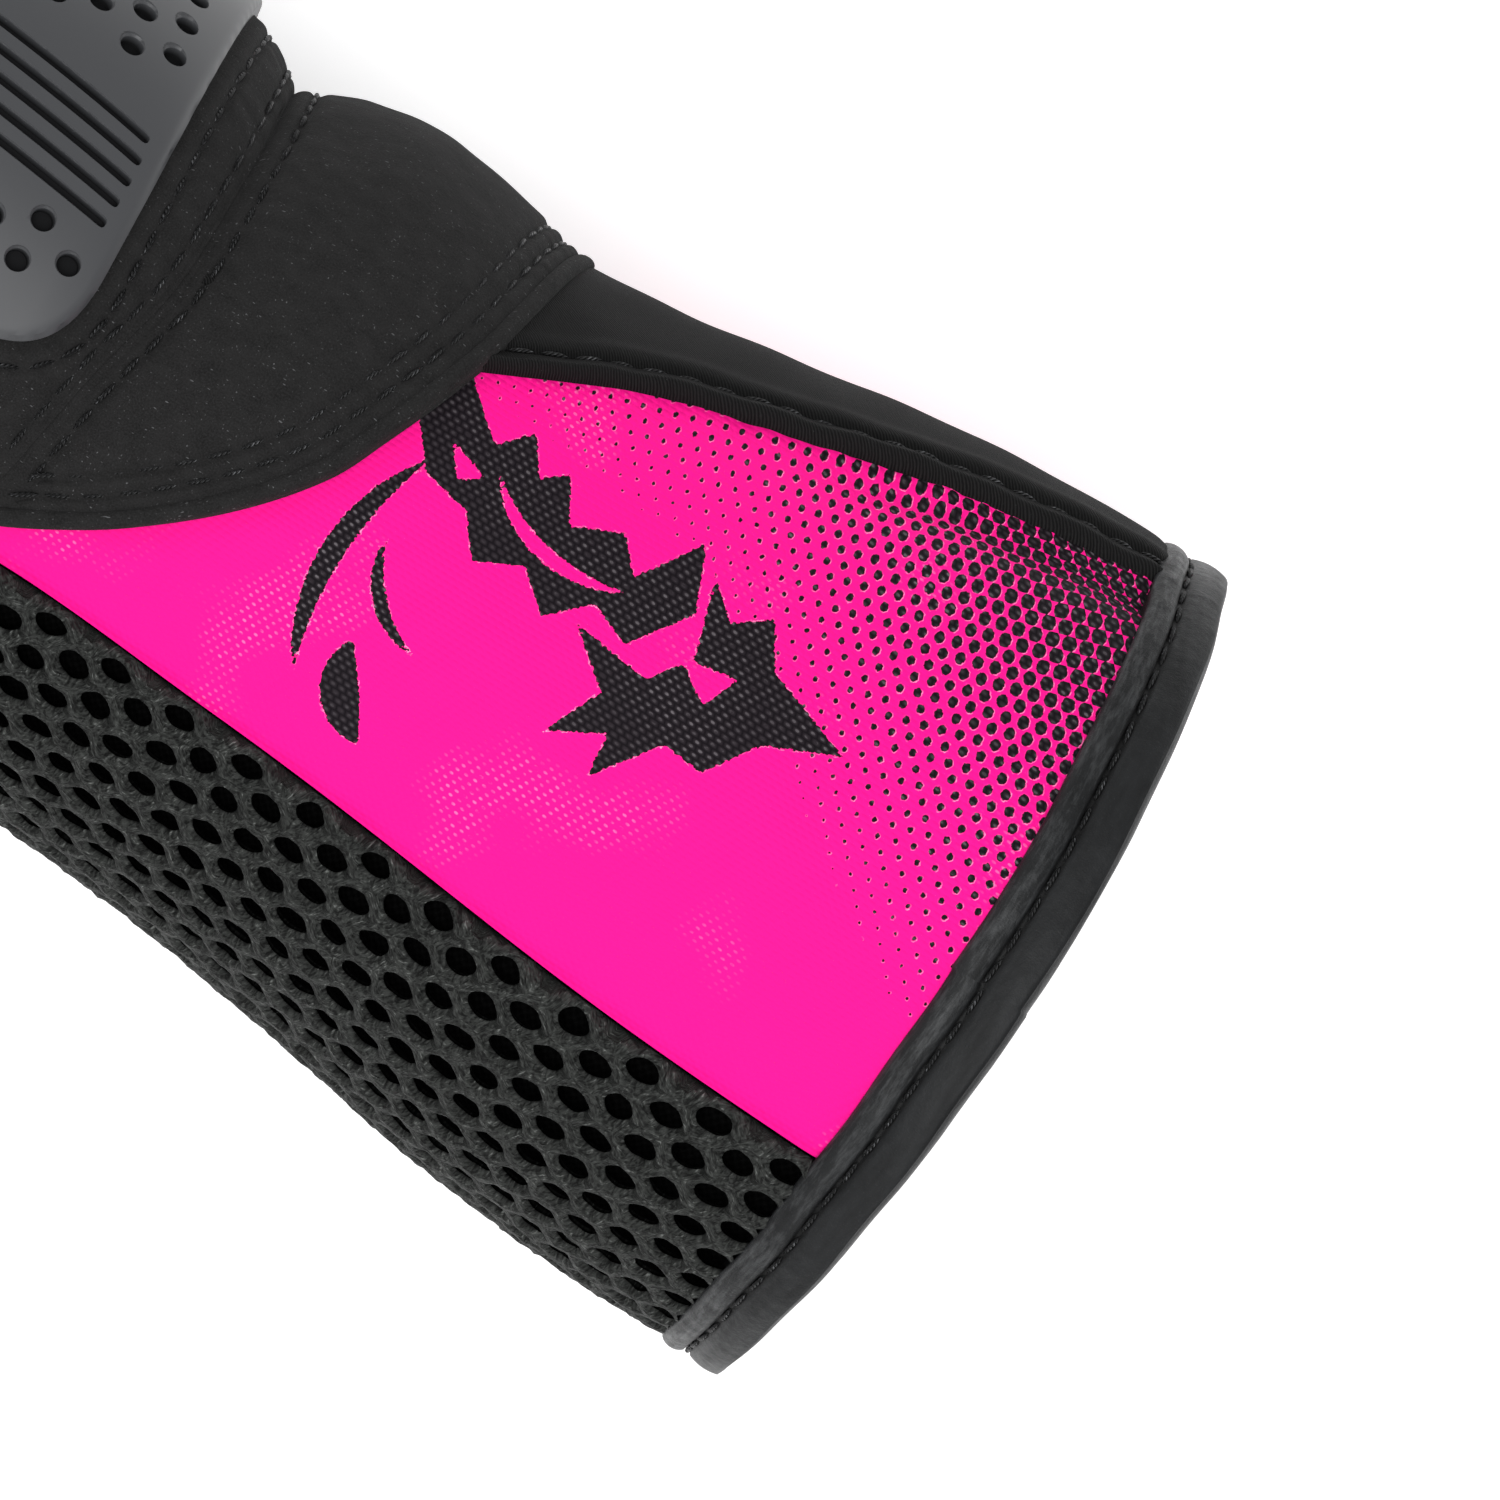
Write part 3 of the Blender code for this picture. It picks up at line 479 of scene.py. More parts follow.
def yarn_material():
    """Bundles of fine black yarn that run round each hole of the net."""
    m = Maker("air_mesh")
    run, out, cell = m.parts(m.attribute("yarn").outputs["Vector"])
    u = m.add(m.mul(run, 0.42), out)
    v = m.sub(run, m.mul(out, 0.42))
    streak_at = m.vector(m.mul(u, 6.5), m.mul(v, 1.5), cell)
    streak = m.noise(1.0, 2.0, 0.6, streak_at, 0.5)
    loops_at = m.vector(m.mul(u, 2.2), m.mul(v, 2.6), m.add(cell, 40.0))
    loops = m.noise(1.0, 1.0, 0.5, loops_at, 0.6)
    height = m.add(m.mul(streak, 0.8), m.mul(loops, 0.7))
    tone = m.mix(m.ramp(height, 0.6, 0.98), (0.004, 0.0043, 0.004), (0.045, 0.048, 0.045))
    # Painted highlight: bright glints on the yarn's streaks
    painted_glint = m.mul(m.ramp(streak, 0.6, 0.7), m.ramp(loops, 0.48, 0.62, 0.0, 0.9))
    colour = m.mix(painted_glint, tone, (0.15, 0.157, 0.15))
    # Painted shade: the yarn darkens to near black and loses its shine down the holes
    deep = m.ramp(m.parts(m.flat())[2], -0.6, -0.05)
    colour = m.mix(deep, (0.002, 0.002, 0.002), colour)
    return m.done(colour, 0.6, m.bump(height, 0.0003), Specular_IOR_Level=m.mul(deep, 0.14))


def knit_material(name, low, high, size=1.0, shine=0.2):
    """Fine knit, for linings and webbing."""
    m = Maker(name)
    x, across, _ = m.parts(m.flat())
    a = m.sine(m.mul(x, 9.0 / size))
    b = m.sine(m.add(m.mul(across, 7.0 / size), m.mul(a, 0.5)))
    height = m.add(m.mul(m.mul(a, b), 0.5), m.noise(6.0, 2.0))
    tone = m.mix(m.ramp(height, 0.1, 0.95), low, high)
    tone = m.mix(m.ramp(m.noise(0.3, 3.0), 0.3, 0.7, 0.0, 0.3), tone, low)
    return m.done(tone, 0.85, m.bump(height, 0.00012), Specular_IOR_Level=shine)


def rubber_material():
    m = Maker("cap_rubber")
    cloud = m.noise(0.09, 3.0, 0.55)
    grain = m.noise(7.0, 3.0, 0.6)
    tone = m.mix(m.ramp(cloud, 0.3, 0.7), (0.036, 0.0375, 0.041), (0.052, 0.054, 0.0585))
    dust = m.mul(m.ramp(m.noise(2.6, 2.0), 0.73, 0.78), 0.35)
    scuff = m.mul(m.ramp(m.noise(1.0, 3.0, 0.6, m.stretch(0.2, 2.4, 0.3)), 0.66, 0.76), 0.2)
    colour = m.mix(m.math("MAXIMUM", dust, scuff), tone, (0.2, 0.21, 0.22))
    # Painted shade: the rubber darkens and loses its shine down the holes and grooves
    deep = m.ramp(m.parts(m.flat())[2], -0.75, -0.1)
    colour = m.mix(deep, (0.013, 0.0132, 0.014), colour)
    roughness = m.ramp(m.add(grain, m.mul(cloud, 0.5)), 0.5, 1.1, 0.36, 0.5)
    normal = m.bump(m.add(grain, m.mul(m.noise(1.2), 1.5)), 0.00002)
    return m.done(colour, roughness, normal, Specular_IOR_Level=m.mul(deep, 0.5))


def binding_material():
    m = Maker("binding")
    grain = m.noise(8.0, 3.0, 0.65)
    rub = m.noise(0.5, 3.0, 0.6, m.stretch(0.35, 1.6))
    tone = m.mix(m.ramp(rub, 0.3, 0.75), (0.0075, 0.0079, 0.0084), (0.0165, 0.0174, 0.0184))
    across = m.parts(m.flat())[1]
    roll = m.ramp(across, 2.9, 3.2, 1.0, 0.0)
    crease = m.mul(m.ramp(across, 2.9, 3.2), m.ramp(across, 3.9, 4.2, 1.0, 0.0))
    # Painted highlight: lighter streaks along the inner roll, with more shine there
    roll_highlight = m.mul(roll, m.ramp(m.noise(0.9, 4.0, 0.72, m.stretch(0.35, 1.8)), 0.46, 0.7))
    colour = m.mix(m.ramp(grain, 0.6, 0.8, 0.0, 0.5), tone, (0.05, 0.0525, 0.055))
    colour = m.mix(m.mul(roll_highlight, 0.5), colour, (0.05, 0.053, 0.056))
    # Painted shade: the stitch groove between the roll and the band is darkened towards black
    colour = m.mix(m.mul(crease, 0.75), colour, (0.0025, 0.0025, 0.0025))
    roughness = m.ramp(rub, 0.3, 0.7, 0.52, 0.4)
    height = m.add(m.mul(grain, 0.4), m.noise(1.1, 3.0))
    shine = m.ramp(roll_highlight, 0.0, 1.0, 0.16, 0.36)
    return m.done(colour, roughness, m.bump(height, 0.0001), Specular_IOR_Level=shine)


def thread_material():
    m = Maker("thread")
    x, angle, _ = m.parts(m.flat())
    twist = m.sine(m.add(m.mul(x, 15.0), m.mul(angle, 16.0)))
    tone = m.mix(m.ramp(twist, -0.6, 0.9), (0.004, 0.004, 0.0042), (0.028, 0.0285, 0.03))
    # Painted highlight: glints on the twisted thread
    painted_glint = m.mul(m.ramp(m.noise(1.4, 1.0), 0.55, 0.66), m.ramp(twist, 0.0, 0.9))
    tone = m.mix(painted_glint, tone, (0.13, 0.133, 0.14))
    return m.done(tone, 0.45, m.bump(twist, 0.00006), Specular_IOR_Level=0.25)


def plastic_material():
    m = Maker("splint_plastic")
    grain = m.noise(5.0, 3.0)
    tone = m.mix(m.ramp(grain, 0.4, 0.7), (0.014, 0.014, 0.015), (0.024, 0.024, 0.026))
    return m.done(tone, m.ramp(m.noise(0.8, 3.0), 0.3, 0.7, 0.3, 0.45), m.bump(grain, 0.00002))


def pile_material():
    """Hook-and-loop pile."""
    m = Maker("hook_and_loop")
    curl = m.noise(4.5, 4.0, 0.75, distortion=2.0)
    tone = m.mix(m.ramp(curl, 0.35, 0.7), (0.004, 0.004, 0.0045), (0.04, 0.04, 0.042))
    return m.done(tone, 0.9, m.bump(curl, 0.0004), Sheen_Weight=0.2)


def foam_material():
    m = Maker("foam")
    cells = m.noise(5.0, 3.0, 0.7)
    tone = m.mix(m.ramp(cells, 0.35, 0.7), (0.02, 0.02, 0.022), (0.06, 0.06, 0.063))
    return m.done(tone, 0.95, m.bump(cells, 0.0002))


def floor_material():
    m = Maker("floor")
    where = m.node("ShaderNodeTexCoord").outputs["Object"]
    tone = m.mix(m.ramp(m.noise(3.0, 2.0, vector=where), 0.3, 0.7), (0.93, 0.93, 0.935), (0.95, 0.95, 0.95))
    return m.done(tone, 0.9, Specular_IOR_Level=0.0, Emission_Color=(1, 1, 1, 1), Emission_Strength=0.42)


looks = {
    "print": print_material(),
    "suede": suede_material(),
    "twill": twill_material(),
    "mesh": yarn_material(),
    "backing": knit_material("mesh_backing", (0.0015, 0.0015, 0.0015), (0.004, 0.004, 0.004), shine=0.0),
    "lining": knit_material("lining", (0.008, 0.008, 0.009), (0.035, 0.035, 0.037)),
    "webbing": knit_material("webbing", (0.005, 0.005, 0.0055), (0.03, 0.03, 0.031), 1.6),
    "gripper": knit_material("gripper", (0.012, 0.012, 0.013), (0.05, 0.05, 0.052), 1.2),
    "rubber": rubber_material(),
    "binding": binding_material(),
    "thread": thread_material(),
    "plastic": plastic_material(),
    "pile": pile_material(),
    "foam": foam_material(),
}


def place(obj, look, slot, body, *nodes):
    """Gives a piece its material, attaches it to its body and hides the CAD nodes that it stands for. The slot
    argument is not used. A piece of the body "wrist", the cloth between the forearm and the hand, is attached to no
    body: its place is baked into its mesh."""
    obj.data.materials.clear()
    obj.data.materials.append(looks[look])
    if body == "wrist":
        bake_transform(obj)
    else:
        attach(obj, body)
    if nodes:
        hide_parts(*nodes)


# Fields on the flat pattern

def dip(distance, width, depth):
    """A soft groove of that depth."""
    return -depth * np.exp(-((distance / width) ** 2))


def polygon_distance(x, y, corners):
    """Distance to a polygon's outline, negative inside."""
    best = np.full(x.shape, 1e9)
    inside = np.zeros(x.shape, bool)
    for n in range(len(corners)):
        (ax, ay), (bx, by) = corners[n - 1], corners[n]
        ex, ey = bx - ax, by - ay
        t = np.clip(((x - ax) * ex + (y - ay) * ey) / (ex * ex + ey * ey), 0, 1)
        best = np.minimum(best, np.hypot(x - ax - t * ex, y - ay - t * ey))
        crosses = (ay > y) != (by > y)
        with np.errstate(divide="ignore", invalid="ignore"):
            inside ^= crosses & (x < (bx - ax) * (y - ay) / (by - ay) + ax)
    return np.where(inside, -best, best)


def arc_blade(x, y, centre, radius, start, end, thick):
    """A crescent: an arc that tapers to both ends."""
    dx, dy = x - centre[0], y - centre[1]
    angle = np.degrees(np.arctan2(dy, dx))
    middle, half = (start + end) / 2, abs(end - start) / 2
    off = (angle - middle + 180) % 360 - 180
    t = np.clip(1 - (off / half) ** 2, 0, 1)
    return np.where(np.abs(off) < half, np.abs(np.hypot(dx, dy) - radius) - thick * t, 9.0)


RIDGE = [
    [(23.0, 18.6), (27.4, 14.9), (29.6, 17.4), (31.6, 14.6), (33.4, 16.2), (35.4, 12.8), (39.2, 14.6), (41.4, 12.0),
     (44.6, 17.2), (46.6, 12.2), (43.4, 7.4), (40.0, 8.8), (37.2, 5.8), (34.2, 8.4), (30.6, 6.6), (28.2, 9.6),
     (24.2, 10.4), (21.0, 14.2)],
    [(46.4, 15.4), (49.0, 13.0), (51.6, 15.0), (53.6, 11.6), (60.6, 9.0), (55.4, 6.4), (52.8, 2.2), (49.6, 2.6),
     (46.2, -2.6), (45.8, 1.0), (41.8, -1.4), (43.8, 3.4), (39.6, 6.8), (46.0, 6.0), (48.2, 9.4)],
]
NOTCHES = [[(24.4, 13.6), (28.2, 12.4), (26.4, 11.2)], [(47.2, 9.0), (51.6, 9.6), (50.4, 6.6)]]
# Centre, radius, the angles where it starts and ends, and half the thickness
SPLIT = ((37.0, 21.0), 11.2, -138, -66, 0.6)
BLADES = [
    ((41.5, 1.6), 20.2, 150, 208, 0.9), ((31.8, 5.6), 7.6, 186, 262, 0.55), ((33.2, -3.2), 7.0, 180, 250, 1.5)
]
LEAST_DOT, MOST_DOT = -0.4, 0.78


def artwork(x, s):
    """A ridge of shards with a few blades beside it, as distances in millimetres."""
    d = np.minimum(*(polygon_distance(x, s, shards) for shards in RIDGE))
    d = np.maximum(d, -arc_blade(x, s, *SPLIT))
    for notch in NOTCHES:
        d = np.maximum(d, -polygon_distance(x, s, notch))
    for blade in BLADES:
        d = np.minimum(d, arc_blade(x, s, *blade))
    return d


def halftone(x, s):
    """The halftone's dot radius, which grows towards the cuff and the twill."""
    start = np.interp(x, [23.8, 45, 63.4, 76.4], [18, 16, 1.2, -7.9])
    beyond = (s - start) * 0.72
    return np.where(beyond > 0, np.minimum(0.0262 * beyond + 0.08, MOST_DOT), LEAST_DOT)


# The sleeve's panels

PALM_START, PANEL_END = -80.1, 75.6
THUMB_PANEL_END = -39.9


def print_height(x, turn, low, high):
    low_side, high_side = (turn - low) * DEGREE, (high - turn) * DEGREE
    side = np.minimum(low_side, high_side)
    folds = 0.16 * bump_noise(x, turn * DEGREE, 17, 3) + 0.05 * bump_noise(x, turn * DEGREE, 6, 4)
    valley = -1.3 * np.exp(-(((high_side - 5.2) / 2.6) ** 2)) * ease((x - 46) / 14) * ease((79 - x) / 5 + 0.4)
    pucker = 0.35 * bump_noise(x, turn * DEGREE * 0.4, 3.4, 5) * np.exp(-high_side / 3.5) * ease((x - 30) / 20)
    tucked_under = 0.35 * ease(1 - high_side / 2.4)
    ends = dip(low_side, 0.7, 0.35) + dip(76 - x, 1.5, 0.5)
    return folds * ease(side / 4) + valley + pucker + ends - 0.1 - tucked_under


def print_sheet(name, columns, start, mirror, *nodes):
    """A printed panel from the net's edge up to the pad and the twill. The print is laid out on x and y, as it
    looks from the thumb side."""
    x = np.linspace(start, PANEL_END, 300)[:, None] + np.zeros(columns)
    low, high = mesh_edge(x) + 0.15, panel_top(x)
    turn = low + (high - low) * np.linspace(0, 1, columns)[None, :]
    top = print_height(x, turn, low, high)
    made = shell(name, x, 180 - turn if mirror else turn, top, top - 1.2, sharp=50)
    y = skin(x, turn)[..., 1]
    y = np.where(turn > 62, y + (turn - 62) * 0.3, y)
    x, y, depth = (np.concatenate([v.reshape(-1)] * 2) for v in (x, y, 0 * x))
    depth[len(x) // 2:] = -1
    add_values(made, "dot", halftone(x, y))
    add_values(made, "art", artwork(x, y))
    set_flat(made, x, y, depth)
    place(made, "print", "printed_knit", "wrist", *nodes)


def panel_top(x):
    """The print panel's upper edge: under the pad on the hand, and under the twill on the forearm."""
    share = ease((x + 9) / 13)
    on_hand = np.maximum(palm_edge(x), -13 - 12 * ease((-9 - x) / 14))
    return on_hand * (1 - share) + (twill_edge(x) + 2.5) * share


print_sheet(
    "print_thumb_side", 170, -39.4, False,
    "print_panel_thumb_forearm", "print_panel_thumb_hand", "wrist_stretch_band",
)
print_sheet("print_little_side", 150, PALM_START, True, "print_panel_little_forearm", "print_panel_little_hand")


def thumb_reach(cx, cy):
    """How far the thumb's panel reaches from the thumb's centre, in each direction."""

    def outside(far):
        x, turn = THUMB_X + far * cx, THUMB_TURN + far * cy / DEGREE
        return (x < PALM_START) | (x > THUMB_PANEL_END) | (turn < mesh_edge(x) + 0.3) | (turn > palm_edge(x))

    far = np.full(len(cx), 60.0)
    for _ in range(40):
        far = np.where(outside(far), far * 0.955, far)
    for _ in range(30):
        far = np.where(outside(far * 1.004), far, far * 1.004)
    return far[:, None]


def thumb_sheet():
    """The panel round the thumb's hole."""
    angle = np.arange(240) / 240 * math.tau
    cx, cy = np.cos(angle), np.sin(angle)
    far, near = thumb_reach(cx, cy), THUMB_RADIUS + 1.5
    radius = near + (far - near) * np.linspace(0, 1, 26)
    x = THUMB_X + radius * cx[:, None]
    turn = THUMB_TURN + radius * cy[:, None] / DEGREE
    top = 0.08 * bump_noise(x, turn * DEGREE, 9, 6) + dip(far - radius, 0.8, 0.6) - 0.1
    x, turn, depth = joined(x, x), joined(turn, turn), joined(0 * x, 0 * x - 1)
    made = band("thumb_panel_print", x, turn, joined(top, top - 1.2))
    add_values(made, "dot", np.full(len(made.data.vertices), LEAST_DOT))
    add_values(made, "art", np.full(len(made.data.vertices), 3.0))
    set_flat(made, closed(x), closed(turn) * DEGREE, closed(depth))
    place(made, "print", "printed_knit", "hand", "thumb_panel")


thumb_sheet()

# The net's cells: their pitch along the arm (mm) and round it (degrees), millimetres for one degree there, the
# hole's half sizes, points round a cell, and rings as (hole's scale, share of the way to the cell's edge, height)
NET_ROW, NET_TURN, NET_DEGREE = 3.05, 7.0, 0.586
NET_HOLE = (1.3, 1.08)
NET_SIDES = 24
NET_RINGS = [
    (1.2, 0, -0.85), (1.03, 0, -0.55), (1.0, 0.02, -0.2), (1.0, 0.24, 0.2), (1.0, 0.62, 0.4), (1.0, 1.0, 0.38)
]
NET_WIDTH = 63  # half of the net's width in degrees, before it's fitted to the panel's edges
NET_NARROWEST = -4.0


def cell_outlines():
    """A six-sided cell's edge and its oval hole, in millimetres round the cell's middle."""
    side = NET_TURN * NET_DEGREE / 2
    ways = [(NET_ROW, side), (0, 2 * side), (-NET_ROW, side)]
    ways += [(-x, -y) for x, y in ways]
    corners = []
    for n in range(6):
        a, b = np.array(ways[n]), np.array(ways[(n + 1) % 6])
        corners.append(np.linalg.solve(np.array([a, b]), np.array([a @ a, b @ b]) / 2))
    rim = np.array([corners[n - 1] * (1 - t) + corners[n] * t for n in range(6) for t in (0, 0.25, 0.5, 0.75)])
    direction = np.arctan2(rim[:, 1] / NET_HOLE[1], rim[:, 0] / NET_HOLE[0])
    return rim, np.stack([NET_HOLE[0] * np.cos(direction), NET_HOLE[1] * np.sin(direction)], -1)


def net_fit(x):
    """How much wider the panel is than the net was laid out."""
    return (90 + mesh_edge(np.maximum(x, NET_NARROWEST))) / NET_WIDTH


def net_cells():
    """The net's points as (x, turn, height), their yarn values, and its four- and three-sided faces."""
    rim, oval = cell_outlines()
    points, yarn, quads, fans, count = [], [], [], [], 0
    k = np.arange(NET_SIDES)
    for i in range(-26, 25):
        x0 = i * NET_ROW
        edge = -90 + (mesh_edge(x0) + 90) / net_fit(x0)
        for j in range(28):
            t0 = 4.5 - (j + 0.5 * (i % 2)) * NET_TURN
            room = min(edge - t0, t0 + 180 + edge) * DEGREE * 1.08
            if room < -3.2:
                continue
            holed = room > 1.75 and -77.8 < x0 < 73.2
            for scale, share, height in NET_RINGS:
                inner = oval * scale if holed else rim * 0.5 * (0.2 + 0.8 * scale)
                ring = inner * (1 - share) + rim * share
                level = np.full(NET_SIDES, height if holed else max(height, 0.3))
                points.append(np.column_stack([x0 + ring[:, 0], t0 + ring[:, 1] / NET_DEGREE, level]))
                cell = np.full(NET_SIDES, (i * 7.3 + (j - 14) * 3.1) % 50)
                yarn.append(np.column_stack([k / NET_SIDES * 9.0, 0 * cell + share * 0.8, cell]))
            quads.append(grid_faces(len(NET_RINGS), NET_SIDES, first=count, loop=True))
            if not holed:
                centre = count + len(NET_RINGS) * NET_SIDES
                points.append([[x0, t0, 0.3]])
                yarn.append([[0, 0, 0]])
                fans.append(np.stack([count + k, count + (k + 1) % NET_SIDES, 0 * k + centre], -1))
                count += 1
            count += len(NET_RINGS) * NET_SIDES
    return (np.concatenate(v) for v in (points, yarn, quads, fans))


def net_ground(x, turn, height, room):
    """The net's heights with its waves, and sunk at its seams."""
    waves = 0.1 * bump_noise(x, turn * 0.58, 2.2, 13) + 0.22 * np.exp(-(((room - 1.3) / 0.9) ** 2))
    seams = dip(room, 0.5, 0.75) + dip(76 - x, 1.4, 0.6) + dip(x + 80.5, 1.4, 0.6)
    on_top = np.where(height > -0.5, 1.0, 0.0)
    return height + on_top * (waves + seams) + 0.25 * bump_noise(x, turn * 0.58, 19, 14) * 0.5


def net_panel():
    """The air mesh over the back: a net of yarn with an oval hole in each cell, and a plain cloth behind it."""
    points, yarn, quads, fans = net_cells()
    x, turn, height = points.T
    turn = -90 + (turn + 90) * net_fit(x)
    x = x + 0.14 * bump_noise(x, turn * 0.58, 7, 11) + 0.07 * bump_noise(x, turn * 0.58, 2.6, 15)
    turn = turn + 0.26 * bump_noise(x, turn * 0.58, 8, 12) + 0.12 * bump_noise(x, turn * 0.58, 2.8, 16)
    x = np.clip(x, -80.3, 75.8)
    high = mesh_edge(x) - 0.1
    turn = np.clip(turn, -180 - high, high)
    height = net_ground(x, turn, height, np.minimum(high - turn, turn + 180 + high) * DEGREE * 1.08)
    space = wrap(x, turn, height)
    across = np.cross(space[quads[:, 2]] - space[quads[:, 0]], space[quads[:, 3]] - space[quads[:, 1]])
    facing_in = np.einsum("ij,ij->i", across, outwards(x[quads[:, 0]], turn[quads[:, 0]])) < 0
    quads = np.where(facing_in[:, None], quads[:, ::-1], quads)[np.linalg.norm(across, axis=1) > 2e-11]
    flat = np.stack([x, turn * 0.58, height], -1)
    made = new_mesh("air_mesh_net", space, quads.tolist() + fans.tolist(), flat)
    values = made.data.attributes.new("yarn", "FLOAT_VECTOR", "POINT")
    values.data.foreach_set("vector", yarn.astype(np.float32).reshape(-1))
    place(made, "mesh", "air_mesh", "wrist", "mesh_panel_forearm", "mesh_panel_hand")
    x = np.linspace(PALM_START, PANEL_END, 90)[:, None] + np.zeros(70)
    high = mesh_edge(x) + 5
    turn = -180 - high + (2 * high + 180) * np.linspace(0, 1, 70)[None, :]
    back = shell("air_mesh_backing", x, turn, 0 * x - 2.1, 0 * x - 3.0)
    place(back, "backing", "air_mesh", "wrist")


net_panel()


def sweep(name, x, turn, profile):
    """A section swept along a path on the flat pattern, with closed ends. profile lists (offset, height) round
    the section, with the offset to the path's side, and takes arrays along the path too."""
    across = turn * PAD_DEGREE
    ahead = np.stack([np.gradient(x), np.gradient(across)], -1)
    ahead /= np.linalg.norm(ahead, axis=1, keepdims=True) + 1e-9
    offsets, heights = (np.stack([np.broadcast_to(p[k], len(x)) for p in profile], 1) for k in (0, 1))
    turns = turn[:, None] + ahead[:, :1] * offsets / PAD_DEGREE
    points = wrap(x[:, None] - ahead[:, 1:] * offsets, turns, heights)
    length = np.concatenate([[0], np.cumsum(np.hypot(np.diff(x), np.diff(across)))])
    rows, columns = offsets.shape
    faces = outward(points.reshape(-1, 3), grid_faces(rows, columns, loop=True)).tolist()
    faces += [list(range(columns)), list(range(rows * columns - 1, (rows - 1) * columns - 1, -1))]
    flat = np.stack([length[:, None] + 0 * offsets, offsets, heights], -1)
    return new_mesh(name, points, faces, flat, sharp=55)


# The twill front

TWILL_UNDER, TWILL_STITCH_INSET = 2.2, 3.1


def twill_ruck(x, turn):
    return 0.22 * bump_noise(x, turn * DEGREE * 0.35, 4.6, 22)


def twill_sheet():
    """The palm side of the forearm, with a rolled edge over the print."""
    x = np.linspace(2.0, PANEL_END, 220)[:, None] + np.zeros(260)
    low = twill_edge(x) - TWILL_UNDER
    v = np.linspace(-1, 1, 260)
    turn = 90 + (90 - low) * (np.sign(v) * np.abs(v) ** 0.75)[None, :]
    edge = (90 - low - np.abs(turn - 90)) * 0.6
    wave = 0.12 * bump_noise(x, turn * DEGREE, 13, 21) + twill_ruck(x, turn) * np.exp(-edge / 4)
    swell = 0.55 * np.exp(-(((edge - 1.0) / 0.9) ** 2)) + 0.25 * np.exp(-(((edge - 4.6) / 1.2) ** 2))
    seams = dip(edge - TWILL_STITCH_INSET, 0.42, 0.5) + dip(76 - x, 1.4, 0.7)
    top = 0.72 + swell - rounded(edge, 1.1, 1.0) + wave + seams
    bottom = np.minimum(top - 0.2, np.where(edge < 2.2, 0.02 - 0.3 * ease(edge / 2.2), -1.5))
    sag = -0.7 * np.exp(-((edge / 3.0) ** 2)) * ease((x - 50) / 12)
    made = shell("twill_front", x, turn, top + sag, bottom + sag, sharp=60)
    place(made, "twill", "twill", "forearm", "twill_front_panel")


def twill_stitches():
    rows = []
    x = np.linspace(14, 75, 400)
    for side in (-1, 1):
        turn = 90 + side * (90 - (twill_edge(x) - TWILL_UNDER) - TWILL_STITCH_INSET / 0.6)
        sag = 0.7 * math.exp(-1.07) * ease((x - 50) / 12)
        rows.append((x, turn, 0.46 - sag + 0.5 * twill_ruck(x, turn)))
    place(stitch_mesh("twill_stitches", rows, radius=0.17), "thread", "twill", "forearm")


twill_sheet()
twill_stitches()


# The suede

PAD_TIP = 112.6  # degrees from the palm's middle to the pad's pointed ends
SUEDE = 0.8  # the suede's thickness
EDGE_ROWS = ((2.4, 0.72), (4.1, 0.58))  # the stitch rows' distances from the heel's edge, and how deep they sit


def seam_dips(x, turn):
    """The crease at the hinge seam with a stitch groove on each side."""
    off = x - seam_line(aside(turn))
    crease = -1.25 * np.exp(-np.abs(off) / 0.55) - 0.5 * np.exp(-((off / 2.4) ** 2))
    return crease + dip(off - 1.7, 0.45, 0.4) + dip(off + 1.25, 0.4, 0.3)


def heel_suede():
    """The padded panel from the hinge seam to the edge over the forearm."""
    turn = 90 + PAD_TIP * np.linspace(-1, 1, 620)[None, :] + np.zeros((130, 1))
    away = np.abs(turn - 90)
    near, far = seam_line(away) - 0.2, heel_edge(away) - 0.9
    u = np.linspace(0, 1, 130)[:, None]
    x = near + np.maximum(far - near, 0.3) * (u - 0.11 * np.sin(2 * math.pi * u))
    lean = (heel_edge(away + 0.5) - heel_edge(away - 0.5)) / WIDE_DEGREE
    edge = (heel_edge(away) - x) / np.sqrt(1 + lean**2)
    puff = 0.55 * (1 - np.exp(-np.maximum(edge - 3, 0) / 4.5))
    puff = puff * (1 - np.exp(-np.maximum(x - near - 1.5, 0) / 4))
    folds = 0.16 * bump_noise(x, turn * DEGREE, 14, 31) + 0.03 * bump_noise(x, turn * DEGREE, 4.5, 32)
    folds += 0.12 * np.exp(-((x - near) / 6) ** 2) * bump_noise(x * 0.5, turn * DEGREE * 1.3, 6.5, 33)
    pull = 0.07 * bump_noise(x * 0.3, turn * DEGREE, 2.8, 34) * np.exp(-np.abs(edge - 2.0) / 1.8)
    grooves = dip(edge - EDGE_ROWS[0][0], 0.42, 0.42) + dip(edge - EDGE_ROWS[1][0], 0.42, 0.36)
    top = pad_rise(x, turn) - 0.35 + puff + folds * ease(edge / 5) + pull + seam_dips(x, turn)
    top = np.maximum(top + grooves + dip(edge - 0.4, 0.8, 0.55), 0.45)
    made = shell("suede_heel_pad", x, turn, top, np.maximum(top - SUEDE, 0.1))
    place(made, "suede", "suede", "wrist", "suede_heel_panel", "suede_wrist_fold", "heel_pad_foam")


def line_inside(inset, reach):
    """The heel edge's line moved inwards, as (x, turn) along it."""
    t = np.linspace(-reach, reach, 1400)
    x, across = heel_edge(np.abs(t)), t * WIDE_DEGREE
    dx, dy = np.gradient(x), np.gradient(across)
    size = np.hypot(dx, dy)
    return x - dy / size * inset, 90 + (across + dx / size * inset) / WIDE_DEGREE


